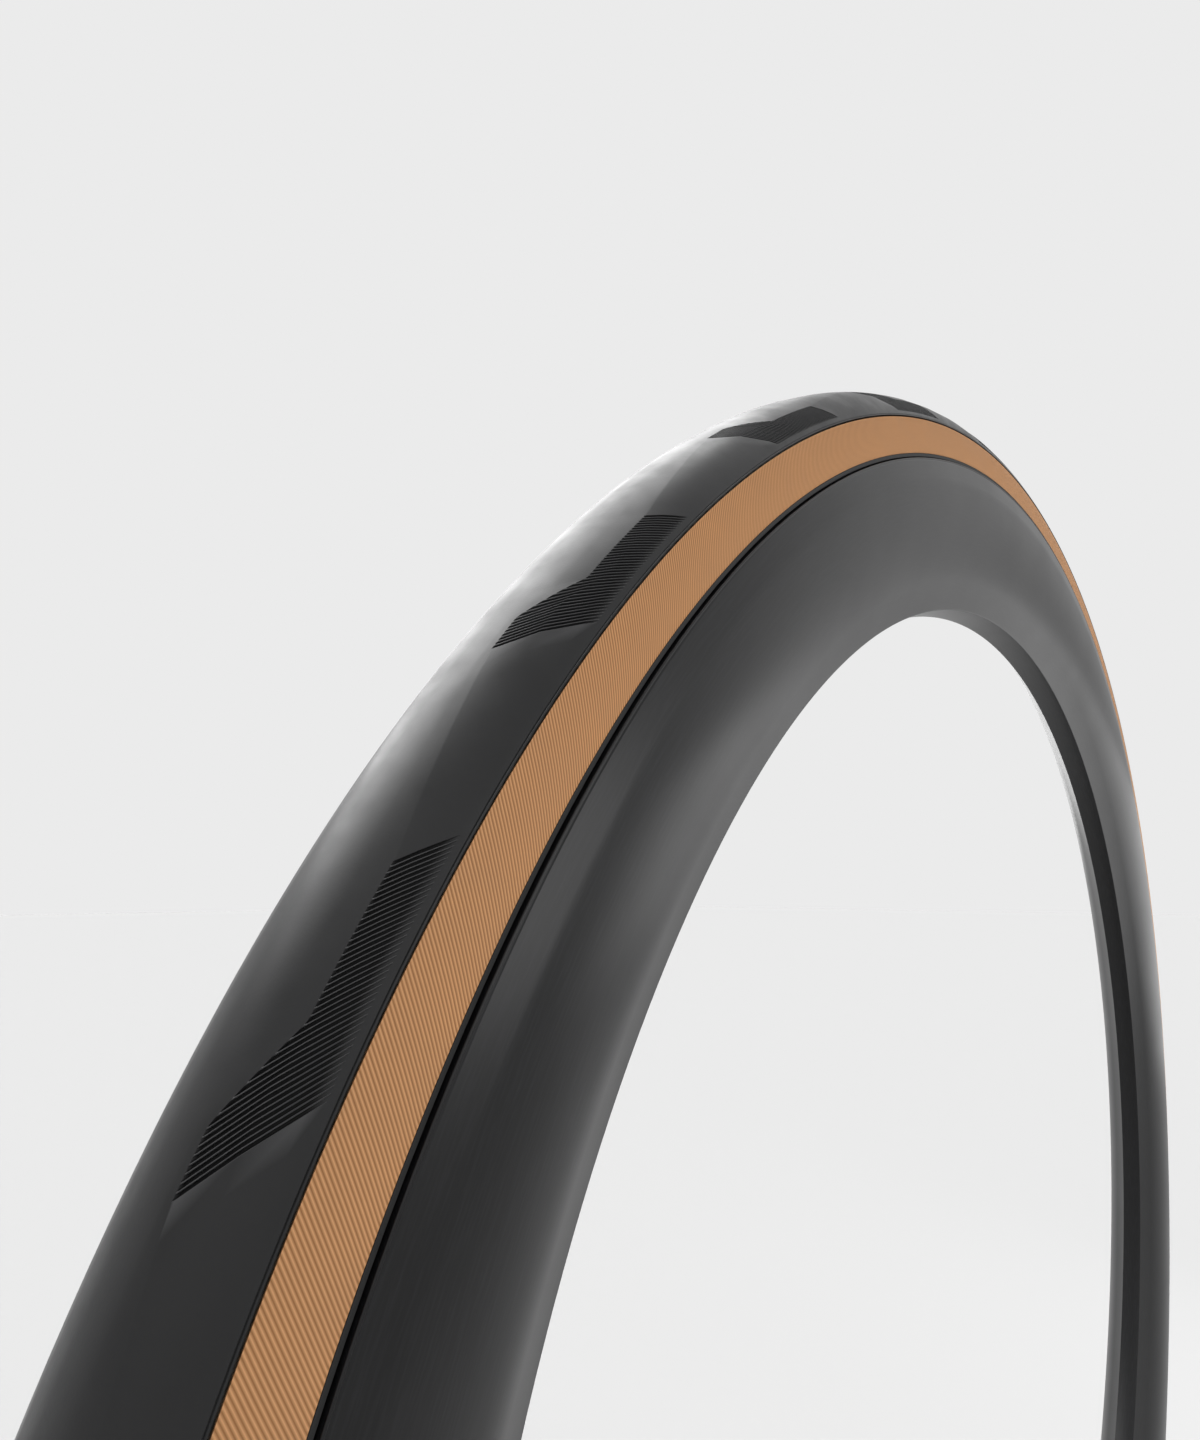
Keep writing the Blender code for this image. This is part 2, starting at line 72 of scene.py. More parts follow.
# Shares of the arc under the tread between which the ply follows it
PLY_ON_CROWN = (0.06, 0.9)
# Angles of the ply round a bead core, in degrees
PLY_FOLD = range(300, 59, -20)
# How far the nose's corner keeps to its flat face before it bends away, as a share of the corner's width
NOSE_BEND = 0.55
# The groove under the rim's lip: how many steps it has, and the share of its length where it is deepest
LIP_GROOVE_STEPS = 12
LIP_GROOVE_DEEPEST = 0.65
# The drill for the valve's hole, in metres: radius of its open core, start outside the bead seat, and length.
# The open core leaves a thin pin standing in the hole, inside the valve's stem.
DRILL_CORE = 0.0005
DRILL_START = 0.01
DRILL_LENGTH = 0.06

# A groove field's upper edge, in millimetres from the crown: high at the wide end, lower at the narrow end,
# with a slope between two places along the field. It climbs back along the plain rubber before the next field.
FIELD_HIGH = 6.6
FIELD_NARROW = 11.7
FIELD_SLOPE = (7.6, 14.0)
# Rows across the tread, in millimetres from the crown: two on the crown, where no column is slanted yet, and
# two where the grooves run out. At the first of those a groove keeps this share of its depth.
CROWN_INNER = 1.9
CROWN_OUTER = 5.5
RUN_OUT_START = 15.6
RUN_OUT_END = 17.1
RUN_OUT_DEPTH = 0.9
# How far below the field's upper edge a groove has its full depth, in millimetres
GROOVE_START = 0.25
# Columns of one groove, as shares of the pitch: the ridge beside it is -1 and the groove itself is 1
GROOVE_COLUMNS = ((0.0, -1.0), (0.17, -1.0), (0.26, 1.0), (0.91, 1.0))
# Columns of the plain rubber between two fields
PLAIN_COLUMNS = 10
# Rows down a tan sidewall and up its inside, as shares of its width. The ribs fade out at its two edges.
RIB_ROWS = (0.0, 0.04, 0.27, 0.5, 0.73, 0.96, 1.0)
INSIDE_ROWS = (1.0, 0.5, 0.0)
# Columns of one grip ridge, as shares of its step: 1 in the groove beside it, whose middle is put on +X
GRIP_COLUMNS = ((0.0, 0), (0.2, 1), (0.5, 1), (0.7, 0), (1.0, 0))
GRIP_MIDDLE = 0.35
# Rows of points in one pitch of a thread
THREAD_ROWS = 6
# Phase of Blender's wave texture per unit of length and scale
WAVE_UNIT = 20


def linear(code):
    """Linear colour of an sRGB hex value."""
    shares = [int(code[i : i + 2], 16) / 255 for i in (1, 3, 5)]
    return tuple(v / 12.92 if v <= 0.04045 else ((v + 0.055) / 1.055) ** 2.4 for v in shares)


def length(name, description, millimetres):
    """A size in millimetres, held in metres."""
    return FloatProperty(
        name=name,
        description=description,
        default=millimetres * MM,
        unit="LENGTH",
        subtype="DISTANCE",
        precision=5,
    )


def colour(name, description, code):
    """A colour from its sRGB hex value."""
    return FloatVectorProperty(
        name=name, description=description, default=linear(code), subtype="COLOR", size=3, min=0.0, max=1.0
    )


def angle(name, description, degrees):
    """An angle in degrees, held in radians."""
    return FloatProperty(name=name, description=description, default=math.radians(degrees), subtype="ANGLE")


class TyreSizes(bpy.types.PropertyGroup):
    """Sizes of the tyre's layers, its groove fields and its sidewall ribs."""

    bead_seat_radius: length("Bead seat radius", "Half of the standard bead seat diameter", 311.0)
    height: length("Height", "From the bead seat to the crown", 28.0)
    crown_arc: length("Crown arc", "Radius of the section across the tread", 14.728)
    tread_edge: angle("Tread edge", "Where the tread ends on the crown's arc", 72.0)
    edge_line: length("Edge line", "How far the fine mould line lies from the tread's edge", 0.34)
    edge_line_half: length("Edge line half width", "Half the width of that line", 0.13)
    edge_line_depth: length("Edge line depth", "Depth of that line", 0.12)
    edge_gap: length("Edge gap", "Dark line between the tread and the tan sidewall", 0.35)
    sidewall_step: length("Sidewall step", "How far the tan lies below the tread", 0.2)
    sidewall_arc: length("Sidewall arc", "Radius of the section down the tan sidewall", 24.4)
    sidewall_width: length("Sidewall width", "Width of the tan sidewall along its section", 9.6)
    tread_crown: length("Tread at the crown", "Rubber thickness at the crown", 2.2)
    tread_side: length("Tread at its edge", "Rubber thickness at the tread's edge", 0.6)
    belt: length("Belt", "Thickness of the puncture belt", 0.4)
    belt_edge: angle("Belt edge", "Where the belt ends on its arc", 38.0)
    casing: length("Casing", "Thickness of the carcass ply", 0.5)
    sidewall: length("Sidewall", "Thickness of the tan rubber", 0.5)
    chafer: length("Chafer", "Thickness of the strip between tyre and rim", 0.45)
    chafer_showing: length("Chafer showing", "Width of that strip below the tan edge", 0.8)
    layer_gap: length("Layer gap", "Clearance between layers", 0.1)
    bead_core: length("Bead core", "Radius of the bead bundle", 1.3)
    bead_clearance: length("Bead clearance", "Gap between the bead and the rim", 0.2)
    turn_up: length("Turn-up", "How far the ply runs up outside the bead", 1.0)
    neck_rise: length("Neck rise", "Height of the ply over the flange", 0.8)
    neck_inset: length("Neck inset", "Distance of the ply from the flange's line", 1.3)
    fields: IntProperty(name="Groove fields", description="Groove fields on each shoulder", default=28)
    field_turn: angle("Field turn", "Where the pointed end of one field lies", 142.68)
    grooves: IntProperty(name="Grooves", description="Grooves in one field", default=38)
    groove_pitch: length("Groove pitch", "From groove to groove along the crown", 0.9057)
    groove_slant: FloatProperty(
        name="Groove slant", description="Run along the crown per run across it", default=1.275
    )
    groove_depth: length("Groove depth", "Depth of a groove at full cut", 0.42)
    ribs: IntProperty(name="Ribs", description="Sidewall ribs in one groove field's length", default=99)
    rib_slant: FloatProperty(
        name="Rib slant", description="Run along the sidewall per run down it", default=1.03
    )
    rib_depth: length("Rib depth", "Depth of the furrows between the ribs", 0.11)


class RimSizes(bpy.types.PropertyGroup):
    """Sizes of the hollow rim and the tape in its channel."""

    inner_width: length("Inner width", "Between the two flanges", 25.0)
    flange_height: length("Flange height", "From the bead seat to the flange's top", 6.6)
    flange_round: length("Flange round", "Radius of the flange's inner edges", 0.7)
    lip_round: length("Lip round", "Radius of the flange's outer edge", 0.3)
    lip_groove: length("Lip groove", "How far below the flange's top the groove under the lip ends", 0.85)
    lip_groove_depth: length("Lip groove depth", "Depth of that groove", 0.1)
    flange_width: length("Flange width", "From the flange's inner face to the flank's top", 2.88)
    bulge: length("Bulge", "How far the flank stands out past the flange", 0.8)
    widest_drop: length("Widest place", "How far below the flange the flank's crease lies", 6.3)
    crease: length("Crease", "Height of the bend at the crease", 0.8)
    depth: length("Depth", "From the flange's top to the nose", 41.5)
    roundness: FloatProperty(
        name="Flank roundness", description="1 bends all the way to the nose", default=0.94
    )
    nose_width: length("Nose width", "Flat inner face of the rim", 8.5)
    nose_round: length("Nose round", "Height of the nose's rounded corner", 0.6)
    nose_round_side: length("Nose round, sideways", "Width of the nose's rounded corner", 0.45)
    seat_width: length("Seat width", "Width of each bead seat", 4.9)
    channel_depth: length("Channel depth", "Depth of the drop channel", 5.0)
    channel_slope: length("Channel slope", "Width of the channel's sloped sides", 2.0)
    tape: length("Tape", "Thickness of the airtight tape", 0.3)
    tape_drop: length("Tape edge", "How far the tape ends below the seats", 0.9)


class ValveSizes(bpy.types.PropertyGroup):
    """Sizes of the valve's threads and grips; its places come from the frame."""

    stem_radius: length("Stem radius", "Outside of the stem's thread", 3.0)
    stem_pitch: length("Stem thread", "Thread pitch of the stem", 0.8)
    stem_thread_depth: length("Stem thread depth", "Depth of the stem's thread", 0.36)
    tip_radius: length("Tip radius", "Outside of the thread that the cap screws on", 2.6)
    bore_radius: length("Bore radius", "Bore that holds the core", 2.1)
    tip_length: length("Tip length", "Length of the cap's thread", 5.5)
    hole_clearance: length("Hole clearance", "Gap between the stem and the rim's hole", 0.3)
    nut_grips: IntProperty(name="Nut grips", description="Grip ridges round the lock nut", default=30)
    cap_grips: IntProperty(name="Cap grips", description="Grip ridges round the cap", default=20)
    core_grips: IntProperty(name="Core nut grips", description="Grip ridges round the core's nut", default=16)


class Finishes(bpy.types.PropertyGroup):
    """Colours of the materials."""

    tread: colour("Tread", "Carbon-black rubber", "#131314")
    tread_bloom: colour("Tread bloom", "Paler cloud on the tread", "#1c1c1d")
    # Painted shade: the rubber in the grooves is drawn darker than the tread, standing for the shade in them
    groove: colour("Groove", "Rubber deep in the grooves", "#0d0d0d")
    # Painted highlight: the thin ridges between grooves are drawn paler, standing for light caught on their
    # edges
    painted_ridge_highlight: colour("Groove ridge", "Rubbed ridge between two grooves", "#434344")
    tan_ridge: colour("Tan ridge", "Tan rubber on the ribs", "#daa371")
    # Painted shade: the tan between the ribs is drawn browner and darker, standing for the shade in the
    # furrows
    painted_furrow_shade: colour("Tan furrow", "Tan rubber between the ribs", "#96653a")
    chafer: colour("Chafer", "Black strip at the rim", "#1a1a1a")
    rim: colour("Rim", "Black composite under its satin lacquer", "#121213")
    rim_fibre: colour("Rim fibre", "Paler fibres in the composite", "#1e1e20")
    ply: colour("Ply", "Rubberised nylon cord", "#4a4238")
    aramid: colour("Aramid", "Aramid cord", "#c9a24a")
    tape: colour("Tape", "Tape film", "#b7b04a")
    alloy: colour("Alloy", "Black anodised aluminium", "#26272a")
    nickel: colour("Nickel", "Nickel-plated brass", "#c9c0ae")
    seal: colour("Seal", "Black rubber seals", "#19191a")
    cap: colour("Cap", "Moulded black plastic", "#1a1a1b")


class StageSettings(bpy.types.PropertyGroup):
    """Camera, floor and light."""

    camera_place: FloatVectorProperty(
        name="Camera place",
        description="Where the camera stands",
        default=(-0.330379, -0.087595, 0.170649),
        subtype="TRANSLATION",
        unit="LENGTH",
        size=3,
    )
    camera_turn: angle("Camera turn", "Direction of the camera, from +Y towards +X", 46.034)
    camera_tilt: angle("Camera tilt", "How far the camera looks up", 2.4257)
    lens: FloatProperty(name="Lens", description="Focal length", default=18.146, unit="CAMERA")
    frame_shift: FloatProperty(name="Frame shift", description="Camera shift upwards", default=0.0977)
    backdrop: colour("Backdrop", "Pale grey behind the object", "#ebebeb")
    floor: colour("Floor", "Pale grey floor", "#c2c2c2")
    world_light: FloatProperty(name="World light", description="Even light from all round", default=0.15)


def on_arc(centre, radius, turn):
    """A point of an arc; the angle starts at the outward radius and grows towards +side."""
    return (centre[0] + radius * math.cos(turn), centre[1] + radius * math.sin(turn))


def arc(centre, radius, start, end, count):
    """Evenly spaced points of an arc, both ends among them."""
    return [on_arc(centre, radius, start + (end - start) * i / (count - 1)) for i in range(count)]


def mirrored(points):
    """The same points on the other side of the wheel's middle plane, in reverse order."""
    return [(radius, -side) for radius, side in reversed(points)]


def bend(start, corner, end, count):
    """Points of a soft corner from start to end, both ends among them."""
    shares = [i / (count - 1) for i in range(count)]
    weights = [((1 - t) ** 2, 2 * t * (1 - t), t * t) for t in shares]
    return [tuple(a * start[k] + b * corner[k] + c * end[k] for k in (0, 1)) for a, b, c in weights]


def offset(path, distance):
    """The path moved sideways: to the right of the way it runs, or to the left if negative."""
    normals = []
    for (r0, s0), (r1, s1) in zip(path, path[1:]):
        size = math.hypot(r1 - r0, s1 - s0)
        normals.append(((s1 - s0) / size, (r0 - r1) / size))
    moved = []
    for (radius, side), first, second in zip(path, normals[:1] + normals, normals + normals[-1:]):
        both = (first[0] + second[0], first[1] + second[1])
        scale = 2 * distance / (both[0] ** 2 + both[1] ** 2)
        moved.append((radius + both[0] * scale, side + both[1] * scale))
    return moved


def band(path, low, high):
    """Closed section of a layer that follows a path, between two sideways distances."""
    return offset(path, high) + list(reversed(offset(path, low)))


def crown_centre(tyre):
    """Centre of the crown's arc."""
    return (tyre.bead_seat_radius + tyre.height - tyre.crown_arc, 0.0)


def under_tread(tyre):
    """Centre, radius and end angle of the arc under the tread, from its thickness at crown and edge."""
    crown = tyre.bead_seat_radius + tyre.height - tyre.tread_crown
    edge = on_arc(crown_centre(tyre), tyre.crown_arc - tyre.tread_side, tyre.tread_edge)
    centre = (crown + edge[0]) / 2 - edge[1] ** 2 / (2 * (crown - edge[0]))
    return (centre, 0.0), crown - centre, math.atan2(edge[1], edge[0] - centre)


def sidewall_arc(tyre):
    """Centre, first angle and last angle of the arc along the outside of the tan sidewall."""
    first = tyre.tread_edge + tyre.edge_gap / tyre.crown_arc
    start = on_arc(crown_centre(tyre), tyre.crown_arc - tyre.sidewall_step, first)
    return on_arc(start, -tyre.sidewall_arc, first), first, first + tyre.sidewall_width / tyre.sidewall_arc


def bead_centre(tyre, rim):
    """Centre of the bead core and the radius of the ply's middle round it."""
    hook = tyre.bead_core + tyre.layer_gap + tyre.casing / 2
    wrap = tyre.chafer + tyre.layer_gap + tyre.casing / 2 + hook + tyre.bead_clearance
    return (tyre.bead_seat_radius + wrap, rim.inner_width / 2 - wrap), hook


def belt_section(tyre):
    """The breaker that lies on the arc under the tread."""
    centre, radius, _ = under_tread(tyre)
    over = arc(centre, radius + tyre.belt, -tyre.belt_edge, tyre.belt_edge, 10)
    return over + list(reversed(arc(centre, radius, -tyre.belt_edge, tyre.belt_edge, 10)))


def casing_section(tyre, rim):
    """The ply from bead to bead, folded in under each bead core and up outside it."""
    centre, radius, end = under_tread(tyre)
    middle = radius - tyre.layer_gap - tyre.casing / 2
    crown = arc(centre, middle, end * PLY_ON_CROWN[0], end * PLY_ON_CROWN[1], 8)
    side_centre, first, last = sidewall_arc(tyre)
    side_middle = tyre.sidewall_arc - tyre.sidewall - tyre.layer_gap - tyre.casing / 2
    side = arc(side_centre, side_middle, first, last, 5)
    flange = tyre.bead_seat_radius + rim.flange_height
    neck = (flange + tyre.neck_rise, rim.inner_width / 2 - tyre.neck_inset)
    core, hook = bead_centre(tyre, rim)
    fold = [on_arc(core, hook, math.radians(turn)) for turn in PLY_FOLD]
    turn_up = (fold[-1][0] + tyre.turn_up, fold[-1][1])
    half = crown + side + [neck] + fold + [turn_up]
    return band(mirrored(half) + half, -tyre.casing / 2, tyre.casing / 2)


def chafer_section(tyre, rim):
    """Strip from the sidewall's lower edge over the flange, down its inner face and under the bead."""
    centre, _, last = sidewall_arc(tyre)
    flange = tyre.bead_seat_radius + rim.flange_height
    half = rim.inner_width / 2
    core, hook = bead_centre(tyre, rim)
    top = last + tyre.layer_gap / tyre.sidewall_arc
    seat = tyre.bead_seat_radius + tyre.bead_clearance
    path = [
        on_arc(centre, tyre.sidewall_arc, top),
        on_arc(centre, tyre.sidewall_arc, top + tyre.chafer_showing / tyre.sidewall_arc),
        (flange + 2 * tyre.bead_clearance, half + 2 * rim.flange_round),
        (flange + tyre.bead_clearance, half + rim.flange_round / 2),
        (flange - rim.flange_round, half - tyre.bead_clearance),
        (seat, half - tyre.bead_clearance),
        (seat, core[1] - hook),
    ]
    return band(path, -tyre.chafer, 0.0)


def flank(tyre, rim, count):
    """The rim's flank: bent out from the nose to the crease, then a flat band with a groove under the lip."""
    flange = tyre.bead_seat_radius + rim.flange_height
    top = (flange - rim.flange_round, rim.inner_width / 2 + rim.flange_width)
    widest = (flange - rim.widest_drop, top[1] + rim.bulge)
    down = rim.depth - rim.nose_round - rim.widest_drop
    inward = widest[1] - rim.nose_width / 2 - rim.nose_round_side
    radius = rim.roundness * (down**2 + inward**2) / (2 * inward)
    across = (-down, radius - inward)
    low = math.atan2(across[1], across[0]) - math.acos(radius / math.hypot(*across))
    lower = arc((widest[0], widest[1] - radius), radius, low, math.pi / 2, count)
    lean = (top[1] - widest[1]) / (top[0] - widest[0])
    rises = [rim.crease]
    sunk = [0.0]
    groove_length = rim.lip_groove - rim.lip_round
    for step in range(LIP_GROOVE_STEPS + 1):
        share = step / LIP_GROOVE_STEPS
        deepening = share < LIP_GROOVE_DEEPEST
        turn = share / LIP_GROOVE_DEEPEST if deepening else (1.0 - share) / (1.0 - LIP_GROOVE_DEEPEST)
        rises.append(rim.widest_drop - rim.lip_groove + share * groove_length)
        sunk.append(rim.lip_groove_depth * (0.5 - 0.5 * math.cos(math.pi * turn)))
    return lower + [(widest[0] + rise, widest[1] + lean * rise - depth) for rise, depth in zip(rises, sunk)]


def rim_section(tyre, rim):
    """Outside of the rim: nose, flanks, rounded flanges, bead seats and drop channel."""
    seat = tyre.bead_seat_radius
    flange = seat + rim.flange_height
    nose = flange - rim.depth
    half = rim.inner_width / 2
    edge = rim.flange_round
    side = flank(tyre, rim, 20)
    flat = rim.nose_width / 2
    corner = (nose + rim.nose_round, flat + rim.nose_round_side)
    points = bend((nose, flat), (nose, flat + rim.nose_round_side * NOSE_BEND), corner, 5)
    points += side
    points += bend(side[-1], (flange, side[-1][1]), (flange, side[-1][1] - rim.lip_round), 9)[1:]
    points += bend((flange, half + edge), (flange, half), (flange - edge, half), 5)
    points += bend((seat + edge, half), (seat, half), (seat, half - edge), 4)
    channel = half - rim.seat_width
    points += [(seat, channel), (seat - rim.channel_depth, channel - rim.channel_slope)]
    return points + mirrored(points)


def tape_section(tyre, rim):
    """Film along the drop channel, its edges a little below the channel's shoulders."""
    channel = rim.inner_width / 2 - rim.seat_width
    edge = channel - rim.tape_drop * rim.channel_slope / rim.channel_depth
    floor = (tyre.bead_seat_radius - rim.channel_depth, channel - rim.channel_slope)
    half = [floor, (tyre.bead_seat_radius - rim.tape_drop, edge)]
    return band(mirrored(half) + half, tyre.layer_gap, tyre.layer_gap + rim.tape)


def about_axle(radius, side, turn):
    """A point of a ring about the axle."""
    return (radius * math.cos(turn), side, radius * math.sin(turn))


def about_valve(radius, height, turn):
    """A point of a round piece on the valve's axis."""
    return (radius * math.cos(turn), radius * math.sin(turn), height)


def new_mesh(name, points, faces):
    """A mesh from its points and faces."""
    mesh = bpy.data.meshes.new(name)
    mesh.from_pydata(points, [], faces)
    return mesh


def closed_out(mesh):
    """Merges a mesh's doubles and makes its faces point outwards."""
    work = bmesh.new()
    work.from_mesh(mesh)
    bmesh.ops.remove_doubles(work, verts=work.verts, dist=MERGE_DISTANCE)
    bmesh.ops.recalc_face_normals(work, faces=work.faces)
    if work.calc_volume(signed=True) < 0:
        bmesh.ops.reverse_faces(work, faces=work.faces)
    work.to_mesh(mesh)
    work.free()
    mesh.update()


def turned(name, section, steps, place):
    """A mesh turned from a closed section, with a UV map in metres along the turn and along the section."""
    points = []
    faces = []
    places = []
    count = len(section)
    along = [0.0]
    for (a0, b0), (a1, b1) in zip(section, section[1:] + section[:1]):
        along.append(along[-1] + math.hypot(a1 - a0, b1 - b0))
    reach = max(point[0] for point in section)
    for step in range(steps):
        points += [place(a, b, 2 * math.pi * step / steps) for a, b in section]
        near = step * count
        far = (step + 1) % steps * count
        u0 = 2 * math.pi * reach * step / steps
        u1 = 2 * math.pi * reach * (step + 1) / steps
        for i in range(count):
            j = (i + 1) % count
            faces.append((near + i, near + j, far + j, far + i))
            places += [(u0, along[i]), (u0, along[i + 1]), (u1, along[i + 1]), (u1, along[i])]
    mesh = new_mesh(name, points, faces)
    layer = mesh.uv_layers.new(name="Turned")
    layer.data.foreach_set("uv", [value for pair in places for value in pair])
    closed_out(mesh)
    return mesh


def add_node(tree, kind, values=None, links=None, **settings):
    """Adds one node with its settings, its own input values and the sockets that feed it."""
    made = tree.nodes.new(kind)
    for key, value in settings.items():
        setattr(made, key, value)
    for key, value in (values or {}).items():
        made.inputs[key].default_value = value
    for key, source in (links or {}).items():
        tree.links.new(source, made.inputs[key])
    return made


def repeat_tree():
    """Geometry nodes that repeat a slice round an axis through the wheel's centre."""
    tree = bpy.data.node_groups.get("Repeat round an axis")
    if tree:
        return tree
    tree = bpy.data.node_groups.new("Repeat round an axis", "GeometryNodeTree")
    inputs = {"Slice": "Geometry", "Count": "Int", "Axis": "Vector", "Finish": "Material"}
    for name, kind in inputs.items():
        tree.interface.new_socket(name, in_out="INPUT", socket_type="NodeSocket" + kind)
    tree.interface.new_socket("Ring", in_out="OUTPUT", socket_type="NodeSocketGeometry")
    given = add_node(tree, "NodeGroupInput")
    points = add_node(
        tree,
        "GeometryNodeMeshLine",
        values={"Offset": (0.0, 0.0, 0.0)},
        links={"Count": given.outputs["Count"]},
    )
    step = add_node(
        tree,
        "ShaderNodeMath",
        values={0: 2 * math.pi},
        links={1: given.outputs["Count"]},
        operation="DIVIDE",
    )
    index = add_node(tree, "GeometryNodeInputIndex")
    turn = add_node(
        tree,
        "ShaderNodeMath",
        links={0: step.outputs[0], 1: index.outputs["Index"]},
        operation="MULTIPLY",
    )
    rotation = add_node(
        tree,
        "FunctionNodeAxisAngleToRotation",
        links={"Axis": given.outputs["Axis"], "Angle": turn.outputs[0]},
    )
    copies = add_node(
        tree,
        "GeometryNodeInstanceOnPoints",
        links={
            "Points": points.outputs["Mesh"],
            "Instance": given.outputs["Slice"],
            "Rotation": rotation.outputs["Rotation"],
        },
    )
    real = add_node(tree, "GeometryNodeRealizeInstances", links={"Geometry": copies.outputs["Instances"]})
    finish = add_node(
        tree,
        "GeometryNodeSetMaterial",
        links={"Geometry": real.outputs["Geometry"], "Material": given.outputs["Finish"]},
    )
    add_node(tree, "NodeGroupOutput", links={"Ring": finish.outputs["Geometry"]})
    return tree


def repeated(name, piece, count, axis, material):
    """The plain mesh of a slice repeated round an axis, joined where the slices meet."""
    holder = bpy.data.objects.new(name + "_slice", piece)
    bpy.context.scene.collection.objects.link(holder)
    modifier = holder.modifiers.new("Repeat", "NODES")
    modifier.node_group = repeat_tree()
    sockets = {item.name: item.identifier for item in modifier.node_group.interface.items_tree}
    modifier[sockets["Count"]] = count
    modifier[sockets["Axis"]] = axis
    modifier[sockets["Finish"]] = material
    bpy.context.view_layer.update()
    mesh = bpy.data.meshes.new_from_object(holder.evaluated_get(bpy.context.evaluated_depsgraph_get()))
    holder.modifiers.clear()
    bpy.data.objects.remove(holder)
    mesh.name = name
    closed_out(mesh)
    return mesh


def finished(name, mesh, material, node, body, sharp=40.0):
    """Puts a finished mesh in the scene as the piece that stands for a CAD node."""
    if not mesh.materials:
        mesh.materials.append(material)
    mesh.polygons.foreach_set("use_smooth", [True] * len(mesh.polygons))
    mesh.set_sharp_from_angle(angle=math.radians(sharp))
    piece = bpy.data.objects.new(name, mesh)
    bpy.context.scene.collection.objects.link(piece)
    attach(piece, body)
    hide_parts(node)
    return piece


def per_metre(millimetres):
    """Texture scale for a pattern whose size is given in millimetres."""
    return 1000.0 / millimetres


def new_material(name, **values):
    """A material with its shader's even values set; returns it, its tree, its shader and its coordinates."""
    material = bpy.data.materials.new(name)
    material.use_nodes = True
    tree = material.node_tree
    shader = tree.nodes["Principled BSDF"]
    for key, value in values.items():
        shader.inputs[key.replace("_", " ")].default_value = value
    return material, tree, shader, add_node(tree, "ShaderNodeTexCoord")


def feed(tree, shader, colour_socket, rough_socket, height_socket, depth_mm):
    """Feeds a shader's colour, roughness and bump."""
    tree.links.new(colour_socket, shader.inputs["Base Color"])
    tree.links.new(rough_socket, shader.inputs["Roughness"])
    bump = add_node(
        tree,
        "ShaderNodeBump",
        values={"Strength": 1.0, "Distance": depth_mm * MM},
        links={"Height": height_socket},
    )
    tree.links.new(bump.outputs["Normal"], shader.inputs["Normal"])


def tread_rubber(finishes):
    """Vulcanised carbon-black rubber from a polished mould: near black, a soft sheen and a cloudy bloom.

    The grooves are dull, and they are drawn darker as painted shade; the thin ridges between them are drawn
    paler as a painted highlight of light caught on their edges.
    The mould's own grain is too fine to show, so it is drawn coarser.
    """
    material, tree, shader, place = new_material("vulcanised_tread_rubber", IOR=1.5, Specular_IOR_Level=0.3)
    cloud = add_node(
        tree,
        "ShaderNodeTexNoise",
        values={"Scale": per_metre(9.0), "Detail": 6.0, "Roughness": 0.6},
        links={"Vector": place.outputs["Object"]},
    )
    base = add_node(
        tree,
        "ShaderNodeMix",
        values={6: (*finishes.tread, 1.0), 7: (*finishes.tread_bloom, 1.0)},
        links={0: cloud.outputs["Fac"]},
        data_type="RGBA",
    )
    depth = add_node(tree, "ShaderNodeAttribute", attribute_name="groove")
    ridge = add_node(
        tree,
        "ShaderNodeMapRange",
        values={"From Min": 0.0, "From Max": -1.0},
        links={"Value": depth.outputs["Fac"]},
    )
    # Painted highlight: the thin ridges between grooves are drawn paler, standing for light caught on their
    # edges
    ridge_with_painted_highlight = add_node(
        tree,
        "ShaderNodeMix",
        values={7: (*finishes.painted_ridge_highlight, 1.0)},
        links={0: ridge.outputs[0], 6: base.outputs[2]},
        data_type="RGBA",
    )
    # Painted shade: the grooves, their run-outs and the mould line are drawn darker by their depth, standing
    # for the shade in them
    shade = add_node(
        tree,
        "ShaderNodeMix",
        values={7: (*finishes.groove, 1.0)},
        links={0: depth.outputs["Fac"], 6: ridge_with_painted_highlight.outputs[2]},
        data_type="RGBA",
    )
    grain = add_node(
        tree,
        "ShaderNodeTexNoise",
        values={"Scale": per_metre(0.35), "Detail": 3.0},
        links={"Vector": place.outputs["Object"]},
    )
    rough = add_node(
        tree,
        "ShaderNodeMapRange",
        values={"From Min": 0.3, "From Max": 0.7, "To Min": 0.32, "To Max": 0.46},
        links={"Value": cloud.outputs["Fac"]},
    )
    dull = add_node(
        tree,
        "ShaderNodeMix",
        values={3: 0.9},
        links={0: depth.outputs["Fac"], 2: rough.outputs[0]},
        data_type="FLOAT",
    )
    feed(tree, shader, shade.outputs[2], dull.outputs[0], grain.outputs["Fac"], 0.008)
    return material


